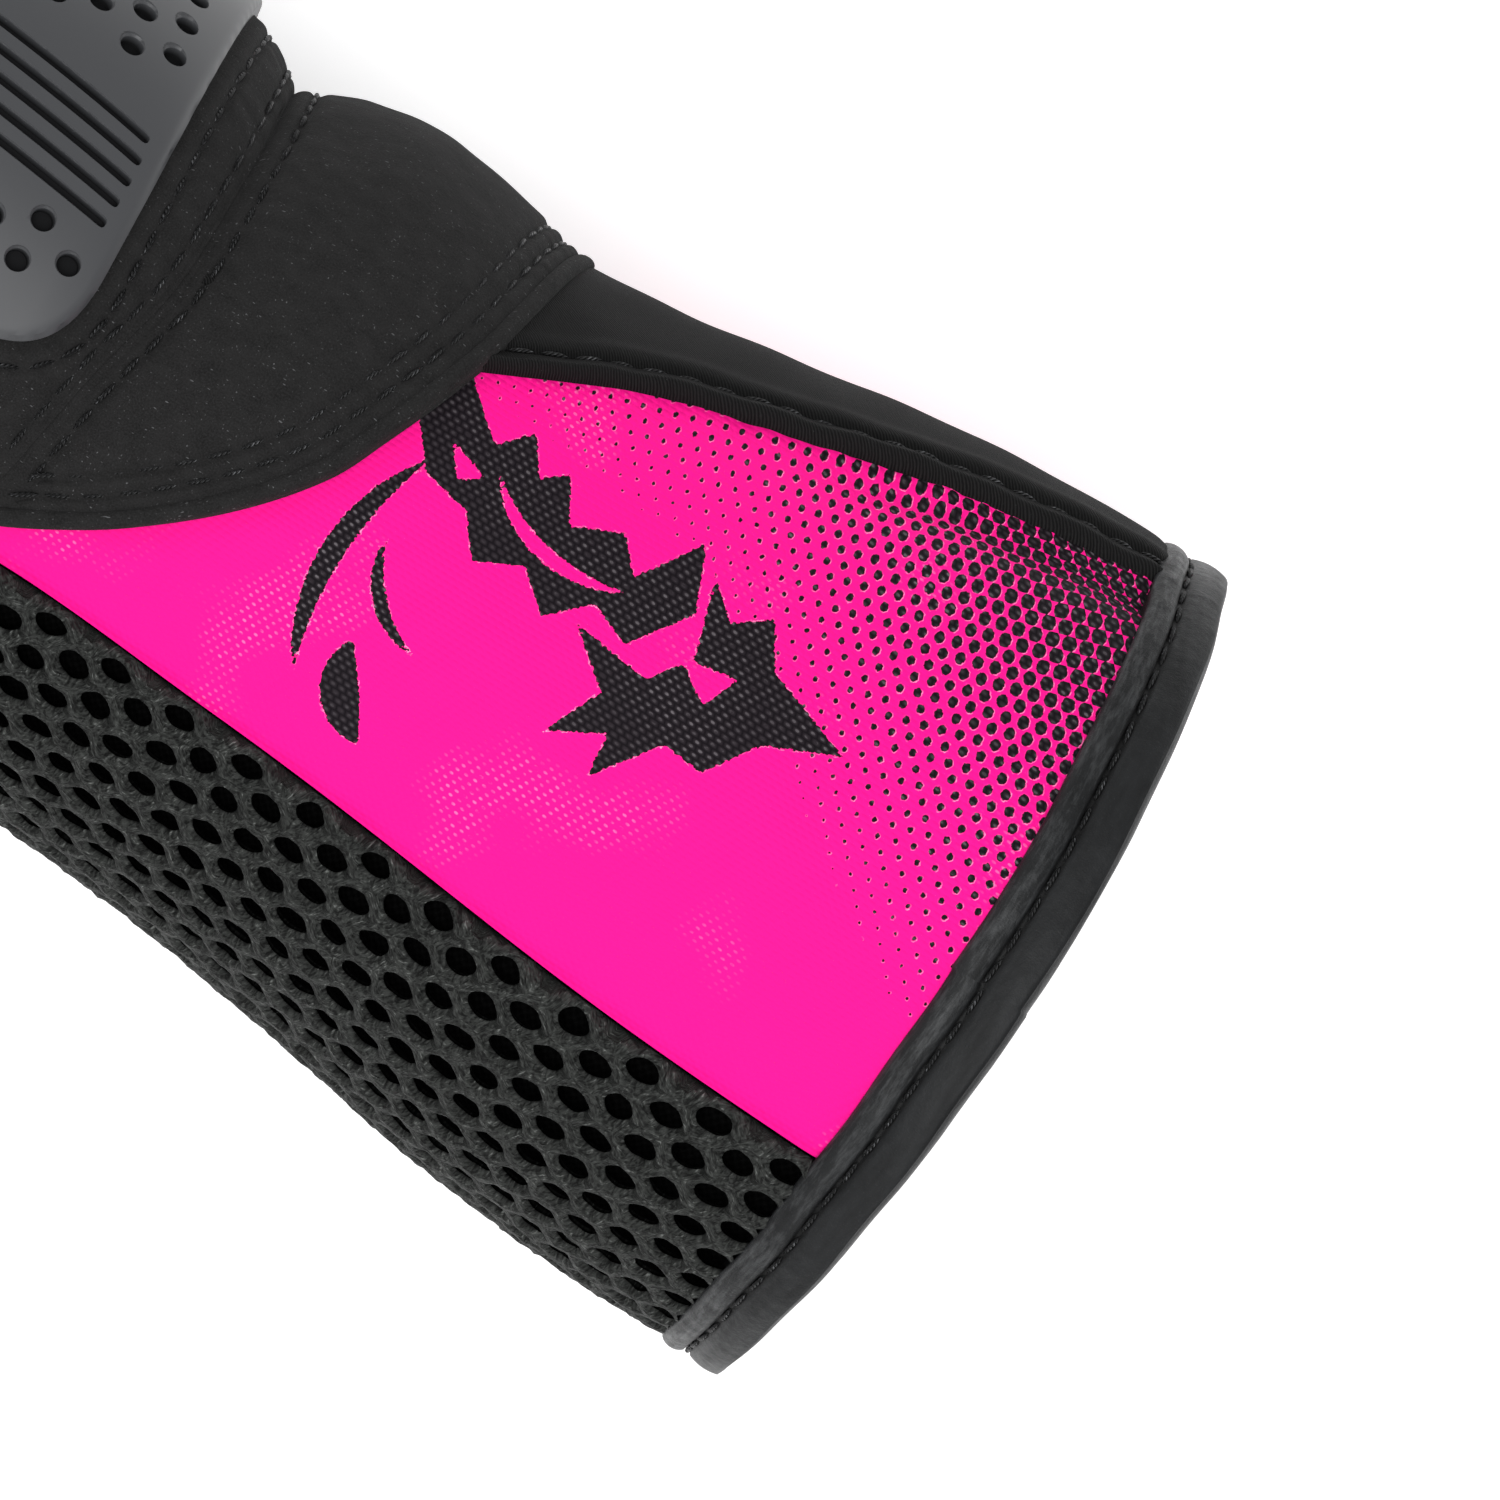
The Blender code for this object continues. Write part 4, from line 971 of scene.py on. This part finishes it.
def heel_piping():
    x, turn = line_inside(0.35, PAD_TIP - 0.4)
    rise = pad_rise(x, turn)
    arch = np.linspace(math.pi * 1.12, -math.pi * 0.12, 12)
    profile = [(0.8 * math.cos(v), 0.46 * rise + (0.42 * rise - 0.05) * math.sin(v)) for v in arch]
    made = sweep("heel_piping", x, turn, [(-0.9, 0.12)] + profile + [(0.9, 0.12)])
    place(made, "suede", "binding", "wrist", "heel_edge_binding")


def heel_rows():
    """The stitch rows inside the heel's edge."""
    for inset, drop in EDGE_ROWS:
        x, turn = line_inside(inset, 111)
        keep = x > seam_line(aside(turn)) + 1.0
        x, turn = x[keep], turn[keep]
        yield x, turn, pad_rise(x, turn) - drop


def seam_row(off, reach, drop):
    """A stitch row beside the hinge seam."""
    t = np.linspace(-reach, reach, 900)
    x, turn = seam_line(np.abs(t)) + off, 90 + t
    return x, turn, pad_rise(x, turn) - drop


heel_suede()
heel_piping()

CAP_HALF = [(-6.2, 30), (-3.9, 87.5), (-30, 88), (-50, 72), (-66, 56)]
SURROUND_HALF = [(8, 30), (8, 112), (-5.2, 113), (-14, 111), (-30, 101), (-46, 79), (-78, 73)]
CAP_CENTRE = np.array((-36.0, 0.0))
CAP_ROW_OUT, SURROUND_ROW_IN = 1.9, 2.3


def outline(half, radius):
    """A closed outline in (x, across) with rounded corners. half lists (x, degrees aside) from the wrist on."""
    side = [np.array((x, a * DEGREE)) for x, a in half]
    corners = side + [p * (1, -1) for p in side[::-1]]
    points = []
    for n, here in enumerate(corners):
        back, on = corners[n - 1] - here, corners[(n + 1) % len(corners)] - here
        cut = min(radius, np.linalg.norm(back) / 2, np.linalg.norm(on) / 2)
        a, b = (here + way / np.linalg.norm(way) * cut for way in (back, on))
        for t in np.linspace(0, 1, 14):
            points.append(a * (1 - t) ** 2 + here * 2 * t * (1 - t) + b * t * t)
    return np.array(points)


def resample(points, count):
    loop = closed(points)
    length = np.concatenate([[0], np.cumsum(np.linalg.norm(np.diff(loop, axis=0), axis=1))])
    s = np.linspace(0, length[-1], count, endpoint=False)
    return np.stack([np.interp(s, length, loop[:, k]) for k in (0, 1)], -1)


def offset_line(points, out):
    """A closed outline moved outwards."""
    ahead = np.roll(points, -1, 0) - np.roll(points, 1, 0)
    ahead /= np.linalg.norm(ahead, axis=1, keepdims=True)
    return points + np.stack([ahead[:, 1], -ahead[:, 0]], -1) * out


def edge_distance(x, across, line):
    """Distance from each place to a dense closed line."""
    points = np.stack([x, across], -1).reshape(-1, 2)
    parts = [points[start:start + 4000] for start in range(0, len(points), 4000)]
    best = [np.sqrt(((part[:, None] - line[None]) ** 2).sum(-1).min(1)) for part in parts]
    return np.concatenate(best).reshape(x.shape)


def polar(points):
    """An outline's distance from the cap's centre, as a function of the angle."""
    d = points - CAP_CENTRE
    angle = np.arctan2(d[:, 1], d[:, 0])
    order = np.argsort(angle)
    a, r = angle[order], np.hypot(d[:, 0], d[:, 1])[order]
    a, r = np.concatenate([a - math.tau, a, a + math.tau]), np.concatenate([r, r, r])
    return lambda q: np.interp(q, a, r)


def at_angle(r, q):
    """The place (x, across) at that distance and angle from the cap's centre."""
    return CAP_CENTRE[0] + r * np.cos(q), r * np.sin(q)


cap_line = resample(outline(CAP_HALF, 8.0), 2400)


def surround_reach(q):
    """How far the cap's surround reaches from the cap's centre: to its outer edge or to the hinge seam."""

    def past_seam(r):
        x, across = at_angle(r, q)
        return x > seam_line(np.abs(across) / DEGREE) - 0.05

    outer = polar(resample(outline(SURROUND_HALF, 5.0), 3000))(q)
    r = outer
    for _ in range(60):
        r = np.where(past_seam(r), r * 0.995, r)
    for _ in range(40):
        r = np.where(~past_seam(r * 1.0006) & (r * 1.0006 < outer), r * 1.0006, r)
    return r


def suede_surround():
    """The suede round the cap, out to the hinge seam and its outer edge."""
    q = np.linspace(-math.pi, math.pi, 1100, endpoint=False)
    r_in, r_out = polar(offset_line(cap_line, -0.5))(q), surround_reach(q)
    share = np.linspace(0, 1, 64)
    share = share - 0.1 * np.sin(2 * math.pi * share)
    x, across = at_angle(r_in[:, None] + (r_out - r_in)[:, None] * share[None, :], q[:, None])
    turn = 90 - across / DEGREE
    from_cap = edge_distance(x, across, cap_line[::3])
    from_edge = edge_distance(x, across, np.stack(at_angle(r_out, q), -1))
    on_seam = ease((x + 16) / 10)
    folds = 0.16 * bump_noise(x, across, 10, 41) + 0.08 * bump_noise(x, across, 4.2, 42)
    top = pad_rise(x, turn) - 0.25 + folds * ease(from_cap / 3) + seam_dips(x, turn) * on_seam
    top += dip(from_cap - CAP_ROW_OUT, 0.42, 0.4) + dip(from_cap, 0.8, 0.3)
    top -= (1 - on_seam) * (rounded(from_edge, 1.4, 0.7) - dip(from_edge - SURROUND_ROW_IN, 0.4, 0.35))
    top = np.maximum(top, 0.6)
    x, turn, depth = joined(x, x), joined(turn, turn), joined(0 * x, 0 * x - 0.8)
    made = band("suede_cap_surround_padded", x, turn, joined(top, np.maximum(top - SUEDE, 0.15)))
    set_flat(made, closed(x), closed(turn) * DEGREE, closed(depth))
    place(made, "suede", "suede", "wrist", "suede_cap_surround", "palm_pad_foam")
    return np.stack(at_angle(r_out, q), -1)


def surround_rows(ends):
    """The stitch rows round the cap and inside the surround's outer edge."""
    ring = closed(offset_line(cap_line, CAP_ROW_OUT))
    turn = 90 - ring[:, 1] / DEGREE
    yield ring[:, 0], turn, pad_rise(ring[:, 0], turn) - 0.55
    out = ends - CAP_CENTRE
    far = CAP_CENTRE + out * (1 - SURROUND_ROW_IN / np.linalg.norm(out, axis=1, keepdims=True))
    far = far[far[:, 0] < -12]
    far = far[np.argsort(np.arctan2(far[:, 1], CAP_CENTRE[0] - far[:, 0]))]
    turn = 90 - far[:, 1] / DEGREE
    yield far[:, 0], turn, np.maximum(pad_rise(far[:, 0], turn) - 0.5, 0.75)


def suede_stitches(ends):
    rows = [*heel_rows(), *surround_rows(ends), seam_row(1.6, 103, 0.85), seam_row(-1.2, 100, 0.95)]
    place(stitch_mesh("suede_stitches", rows, radius=0.19), "thread", "suede", "wrist")


suede_stitches(suede_surround())


# The rubber cap

CAP_PROUD = 0.95  # the cap's face above the pad
# The cutters' sections: rings of a hole as (radius, height), and a groove's section as (offset, height)
HOLE_RINGS = [(0.86, -1.05), (0.92, -0.3), (0.95, -0.14), (1.1, 0.03), (1.5, 0.6)]
GROOVE_SIDE = [(0.72, 0.6), (0.52, 0.03), (0.4, -0.12), (0.34, -0.8)]
GROOVE_SECTION = np.array([(-x, z) for x, z in GROOVE_SIDE] + GROOVE_SIDE[::-1])
GROOVE_STARTS, GROOVE_LENGTH = (-7.4, -7.0, -6.8, -6.7, -6.7), 38.0
GROOVE_ASIDE, GROOVE_PITCH, GROOVE_LEAN = 52.5, 3.4, 6.0  # in degrees


def cap_holes():
    """The holes' places, as (x, degrees aside): a field in the middle and a double row along each side."""
    holes = []
    for row in range(5):
        for n in range(-7, 7):
            turn = n * 6.4 + 3.2 * (row % 2)
            if abs(turn) < 46:
                holes.append((-8.7 - row * 3.5 - 2.2 * (1 - (turn / 44) ** 2), turn))
    for row in range(6):
        turns = (70.3, 76.7) if row % 2 else (73.5, 79.9)[: 1 if row == 0 else 2]
        holes += [(-7.4 - row * 3.5, side * turn) for side in (-1, 1) for turn in turns]
    return holes


def hole_cutter(x, away):
    """Rings of (x, turn, height above the cap)."""
    angle = np.arange(26) / 26 * math.tau
    for radius, height in HOLE_RINGS:
        turn = 90 - away + radius * np.sin(angle) / CAP_DEGREE
        yield x + radius * np.cos(angle), turn, np.full(26, height), pad_rise(np.array(x), np.array(90 - away))


def groove_cutter(side, n):
    far = np.concatenate([[0, 0.004], np.linspace(0.012, 0.988, 60), [0.996, 1.0]])
    pinch = np.concatenate([[0.45, 0.85], np.ones(60), [0.85, 0.45]])
    for share, narrow in zip(far, pinch):
        away = side * (GROOVE_ASIDE + GROOVE_PITCH * n - GROOVE_LEAN * share)
        turn = 90 - away + GROOVE_SECTION[:, 0] * narrow / CAP_DEGREE
        x = np.full(len(turn), GROOVE_STARTS[n] - GROOVE_LENGTH * share)
        yield x, turn, GROOVE_SECTION[:, 1], pad_rise(x, turn)


def cap_cutter():
    """The holes and grooves with softened mouths, as one mesh of closed solids that face out."""
    points, flats, faces, first = [], [], [], 0
    solids = [hole_cutter(*hole) for hole in cap_holes()]
    solids += [groove_cutter(side, n) for side in (-1, 1) for n in range(5)]
    for solid in solids:
        rings = list(solid)
        for x, turn, height, rise in rings:
            points.append(wrap(x, turn, rise + CAP_PROUD + height, False))
            flats.append(np.stack([x, turn * DEGREE, np.minimum(height, 0)], -1))
        rows, columns = len(rings), len(rings[0][0])
        last = first + (rows - 1) * columns
        made = grid_faces(rows, columns, first=first, loop=True).tolist()
        made += [list(range(first, first + columns)), list(range(last + columns - 1, last - 1, -1))]
        here = np.concatenate(points[-rows:]) - points[-1][0]
        corners = [[here[n - first] for n in face] for face in made]
        volume = sum(f[0] @ np.cross(f[k], f[k + 1]) for f in corners for k in range(1, len(f) - 1))
        faces += made if volume > 0 else [face[::-1] for face in made]
        first = last + columns
    return new_mesh("cap_cutter", np.concatenate(points), faces, np.concatenate(flats))


def read_flat(mesh):
    values = np.zeros(len(mesh.vertices) * 3, np.float32)
    mesh.attributes["flat"].data.foreach_get("vector", values)
    return values.reshape(-1, 3)


def cut_cap(cap, cutter):
    """Cuts the holes and grooves, and writes on their points how deep they are."""
    cut = cap.modifiers.new("cut", "BOOLEAN")
    cut.operation, cut.solver, cut.object = "DIFFERENCE", "EXACT", cutter
    bpy.context.view_layer.update()
    cap_mesh = bpy.data.meshes.new_from_object(cap.evaluated_get(bpy.context.evaluated_depsgraph_get()))
    cap.modifiers.clear()
    cap.data = cap_mesh
    cap_mesh.shade_smooth()
    cap_mesh.set_sharp_from_angle(angle=math.radians(24))
    tree = KDTree(len(cutter.data.vertices))
    for vertex in cutter.data.vertices:
        tree.insert(vertex.co, vertex.index)
    tree.balance()
    depths, flat = read_flat(cutter.data), read_flat(cap_mesh)
    flat[:, 2] = 0
    for vertex in cap_mesh.vertices:
        _, n, away = tree.find(vertex.co)
        if away < 2e-6:
            flat[vertex.index] = depths[n]
    set_flat(cap, *flat.T)
    bpy.data.objects.remove(cutter)


def rubber_cap():
    """The moulded cap, with its blind holes and grooves."""
    a, b = np.meshgrid(np.linspace(-1, 1, 150), np.linspace(-1, 1, 190), indexing="ij")
    share = np.maximum(np.abs(a), np.abs(b))
    angle = np.arctan2(b * 1.25, a)
    x, across = at_angle(polar(cap_line)(angle) * (share * 0.6 + (1 - (1 - share) ** 1.25) * 0.4), angle)
    turn = 90 - across / DEGREE
    rim = rounded(edge_distance(x, across, cap_line[::2]), 0.8, 0.7)
    rise = pad_rise(x, turn)
    top = rise + CAP_PROUD - rim + 0.04 * bump_noise(x, across, 15, 51)
    made = shell("rubber_cap_moulded", x, turn, top, rise - 0.75, sharp=30)
    x, across = (np.concatenate([v.reshape(-1)] * 2) for v in (x, across))
    set_flat(made, x, across, 0 * x)
    cut_cap(made, cap_cutter())
    place(made, "rubber", "cap_rubber", "wrist", "rubber_cap")


rubber_cap()


# The bindings

def end_binding(name, node, body, end, sign):
    """A binding round the sleeve's end: a rolled edge inwards, a stitched groove and a band over the end."""
    turn = np.linspace(0, 360, 720, endpoint=False)[:, None]
    arc = np.linspace(-0.5, math.pi * 0.8, 12)
    # The section as (distance in from the end, height), with how much each part ripples
    roll = [(4.6 + 1.15 * math.cos(v), -0.1 + 0.86 * math.sin(v)) for v in arc]
    groove = [(3.6, 0.08), (3.25, 0.08)]
    share = np.linspace(0, 1, 10)
    outer = [(2.95 - 2.55 * t, 0.32 + 0.42 * math.sin(math.pi * (t * 0.75 + 0.1)) ** 0.8) for t in share]
    over = [(0.7 - 0.7 * math.sin(v), -1.35 + 2.0 * math.cos(v)) for v in np.linspace(0.42, 2.7, 12)]
    inner = [(1.0, -3.3), (5.4, -3.35), (5.9, -2.4)]
    section = np.array(roll + groove + outer + over + inner)
    weight = np.repeat([1.0, 0.3, 0.45, 0.2, 0.0], [len(part) for part in (roll, groove, outer, over, inner)])
    wave = 0.1 * bump_noise(turn * 0.5, 0 * turn, 14, 61)
    ripple = 0.05 * bump_noise(turn * 0.6, 0 * turn + 3, 5.2, 62)
    ripple = ripple + 0.03 * bump_noise(turn * 0.6, 0 * turn, 1.6, 63)
    height = section[:, 1][None, :] + 0 * turn
    height = height + ripple * weight[None, :] * np.where(height > 0.2, 1, 0)
    x = np.clip(end - sign * section[:, 0][None, :] + wave, HAND_END, CUFF_END)
    length = np.concatenate([[0], np.cumsum(np.hypot(*np.diff(section, axis=0).T))])
    made = band(name, x, turn + 0 * x, height, across=length[None, :] + 0 * x, around=turn * 0.6)
    place(made, "binding", "binding", body, node)
    t = np.linspace(0, 360, 2000)
    groove_x = end - sign * 3.35 + 0.1 * bump_noise(t * 0.5, 0 * t, 14, 61)
    stitches = stitch_mesh(name + "_stitches", [(groove_x, t, 0.24 + 0 * t)], length=2.3, radius=0.19)
    place(stitches, "thread", "binding", body)


end_binding("cuff_edge_binding", "cuff_binding", "forearm", CUFF_END, 1)
end_binding("hand_edge_binding", "hand_binding", "hand", HAND_END, -1)


def squared(wave, power):
    """A sine or cosine with fuller shoulders."""
    return np.sign(wave) * np.abs(wave) ** power


def thumb_edge():
    """The rolled binding round the thumb's hole, with its stitches."""
    angle = np.linspace(0, math.tau, 260, endpoint=False)[:, None]
    t = np.linspace(0, math.tau, 18, endpoint=False)[None, :]
    radius = THUMB_RADIUS + 1.5 + 1.5 * squared(np.cos(t), 0.8)
    x, turn = THUMB_X + radius * np.cos(angle), THUMB_TURN + radius * np.sin(angle) / DEGREE
    high = -0.75 + 1.45 * squared(np.sin(t), 0.7) + 0.07 * bump_noise(angle * 12, 0 * angle, 2.6, 71)
    made = band("thumb_edge_binding", x, turn, high, across=t * 1.3 + 0 * x, around=angle * 13)
    place(made, "binding", "binding", "hand", "thumb_binding")
    q = np.linspace(0, math.tau, 900)
    r = THUMB_RADIUS + 2.5
    row = (THUMB_X + r * np.cos(q), THUMB_TURN + r * np.sin(q) / DEGREE, 0.45 + 0 * q)
    place(stitch_mesh("thumb_edge_stitches", [row], radius=0.17), "thread", "binding", "hand")


thumb_edge()


# The strap and what is inside

ANCHOR_TURNS, BAND_TURNS = (-156, -138.5), (-137, -19.5)
WEBBING = 1.4  # the webbing's thickness


def strip(name, inset, turns, top, bottom, columns=160):
    """A strip of webbing or tape with softened edges, inset from the strap's width."""
    middle, half = sum(STRAP_X) / 2, (STRAP_X[1] - STRAP_X[0]) / 2 - inset
    across, reach = (turns[0] + turns[1]) / 2, (turns[1] - turns[0]) / 2
    u, v = np.linspace(-1, 1, 40)[:, None], np.linspace(-1, 1, columns)[None, :]
    x = middle + half * np.sin(u * math.pi / 2 * 0.999) + 0 * v
    turn = across + reach * np.sin(v * math.pi / 2 * 0.999) + 0 * u
    side = np.minimum(half - np.abs(x - middle), (reach - np.abs(turn - across)) * DEGREE)
    high, low = top(turn), bottom(turn)
    drop = rounded(side, 0.5, 1.0) * np.minimum((high - low) / 2, 0.45)
    return shell(name, x, turn, high - drop, low + drop, sharp=60)


def level(height):
    return lambda turn: height + 0 * turn


def strap_low(turn):
    """The strap's underside, which climbs onto the loop patch."""
    return 0.6 + 2.3 * ease((turn + 85) / 30)


def strap_top(turn):
    return strap_low(turn) + WEBBING


def box_rows(t0, t1, height):
    """A stitched box with a cross in it."""
    x0, x1 = STRAP_X[0] + 1.6, STRAP_X[1] - 1.6
    corners = [((x0, t0), (x1, t0)), ((x1, t0), (x1, t1)), ((x1, t1), (x0, t1)), ((x0, t1), (x0, t0)),
               ((x0, t0), (x1, t1)), ((x1, t0), (x0, t1))]
    way = np.linspace(0, 1, 300)
    for (xa, ta), (xb, tb) in corners:
        turn = ta + (tb - ta) * way
        yield xa + (xb - xa) * way, turn, height(turn)


def strap():
    anchor = strip("strap_anchor_patch", 0, ANCHOR_TURNS, level(2.0), level(0.45))
    place(anchor, "webbing", "webbing", "hand", "strap_anchor")
    webbing = strip("strap_band", 0, BAND_TURNS, strap_top, strap_low, columns=300)
    place(webbing, "webbing", "webbing", "strap", "strap_webbing")
    loops = strip("strap_loop_patch", -1, (-52, -21), level(1.2), level(0.45))
    place(loops, "pile", "hook_and_loop", "hand", "loop_patch")
    hooks = strip("strap_hook_patch", 1, (-50, -26), level(2.5), level(1.6))
    place(hooks, "pile", "hook_and_loop", "strap", "hook_patch")
    on_hand = stitch_mesh("strap_anchor_stitches", box_rows(-153.5, -141.5, level(2.02)), radius=0.18)
    place(on_hand, "thread", "webbing", "hand")
    on_strap = stitch_mesh("strap_stitches", box_rows(-47, -29, lambda t: strap_top(t) + 0.02), radius=0.18)
    place(on_strap, "thread", "webbing", "strap")


def pull_tab():
    """A moulded tab with ribs at the strap's end."""
    a, b = np.meshgrid(np.linspace(-1, 1, 60), np.linspace(-1, 1, 60), indexing="ij")
    x = -27.0 + 8.5 * a * np.sqrt(1 - b * b / 2.6)
    turn = -16 + 7 * b * np.sqrt(1 - a * a / 2.6)
    share = np.maximum(np.abs(a), np.abs(b))
    ribs = np.minimum(0.22 * np.cos(x * 2.6) * ease((0.8 - share) / 0.1), 0)
    drop = rounded((1 - share) * 4, 0.8, 0.6)
    made = shell("strap_tab", x, turn, 4.4 - drop + ribs, 2.6 + drop * 0.4, sharp=50)
    place(made, "rubber", "cap_rubber", "strap", "strap_pull_tab")


strap()
pull_tab()


def palm_lining():
    x = np.linspace(PALM_START, 2.5, 120)[:, None] + np.zeros(200)
    low = panel_top(x) + 0.4
    turn = 90 + (90 - low) * np.linspace(-1, 1, 200)[None, :]
    lining = shell("palm_lining_cloth", x, turn, 0 * x - 0.05, 0 * x - 1.65)
    place(lining, "lining", "lining", "wrist", "palm_lining")


def gripper():
    """The ribbed elastic inside the cuff."""
    turn = np.linspace(0, 360, 400, endpoint=False)[:, None]
    profile = [(56, -3.6), (56.3, -3.4), (70.7, -3.4), (71, -3.6), (71, -4.3)]
    profile += [(70.6 - n * 0.24, -4.45 - 0.2 * (1 - math.cos(n * 0.24 * 2.1))) for n in range(60)]
    x, height = np.array(profile + [(56.0, -4.3)]).T[:, None, :] + 0 * turn
    grip = band("cuff_gripper", x, turn + 0 * x, height, across=x, around=turn * 0.55)
    place(grip, "gripper", "gripper", "forearm", "cuff_gripper_band")


def back_strip(reach, half_turn):
    """A grid (x, turn) over the back of the wrist."""
    x = np.linspace(-reach[0], reach[1], 150)[:, None] + np.zeros(40)
    return x, -90 + half_turn * np.linspace(-1, 1, 40)[None, :] + 0 * x


def stay_and_pocket():
    x, turn = back_strip((56, 54), 23)
    low = -5.15 - 0.2 * np.cos((turn + 90) * 0.07)
    pocket = shell("stay_pocket_cloth", x, turn, low, low - 0.6)
    place(pocket, "lining", "lining", "wrist", "stay_pocket")
    x, turn = back_strip((52, 52), 17)
    soft = rounded(np.minimum(52 - np.abs(x), (17 - np.abs(turn + 90)) * 0.55), 0.5, 0.45)
    stay = shell("flexible_stay", x, turn, -3.5 - soft, -4.6 + soft)
    place(stay, "plastic", "splint_plastic", "wrist", "dorsal_stay")


palm_lining()
gripper()
stay_and_pocket()

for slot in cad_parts["palm_splint"].material_slots:
    slot.material = looks["plastic"]


# The stage

CAMERA_DISTANCE, VIEW_WIDTH = 1.6, 0.1154
PICTURE_RIGHT = (0.846, 0.533)
LOOK_AT = Vector((0.0561, 0.00567, 0.03))


def stage():
    mesh = bpy.data.meshes.new("floor")
    corners = [(3.0 * x, 3.0 * y, -0.0004) for x, y in ((-1, -1), (1, -1), (1, 1), (-1, 1))]
    mesh.from_pydata(corners, [], [(0, 1, 2, 3)])
    floor = bpy.data.objects.new("floor", mesh)
    bpy.context.scene.collection.objects.link(floor)
    mesh.materials.append(floor_material())

    def light(name, size, power, where, target):
        data = bpy.data.lights.new(name, "AREA")
        data.size = size
        data.energy = power
        lamp = bpy.data.objects.new(name, data)
        lamp.location = where
        lamp.rotation_euler = (Vector(target) - Vector(where)).to_track_quat("-Z", "Y").to_euler()
        bpy.context.scene.collection.objects.link(lamp)

    light("overhead", 1.6, 30, (0.1, -0.35, 1.9), (0.05, 0, 0))
    light("front_fill", 0.7, 3.5, (0.6, -1.3, 0.9), (0.05, 0, 0.03))
    light("left_fill", 0.6, 3.0, (-1.2, 0.3, 0.9), (0.0, 0, 0.03))

    world = bpy.context.scene.world or bpy.data.worlds.new("world")
    bpy.context.scene.world = world
    world.use_nodes = True
    background = world.node_tree.nodes.get("Background")
    background.inputs[0].default_value = (1, 1, 1, 1)
    background.inputs[1].default_value = 0.55

    data = bpy.data.cameras.new("camera")
    data.sensor_width = 36
    data.lens = 36 * CAMERA_DISTANCE / VIEW_WIDTH
    camera = bpy.data.objects.new("camera", data)
    right = Vector((*PICTURE_RIGHT, 0)).normalized()
    up = Vector((0, 0, 1)).cross(right)
    axes = Matrix((right, up, right.cross(up))).transposed()
    camera.matrix_world = Matrix.Translation(LOOK_AT + Vector((0, 0, CAMERA_DISTANCE))) @ axes.to_4x4()
    bpy.context.scene.collection.objects.link(camera)
    bpy.context.scene.camera = camera
    bpy.context.scene.view_settings.view_transform = "Standard"


stage()
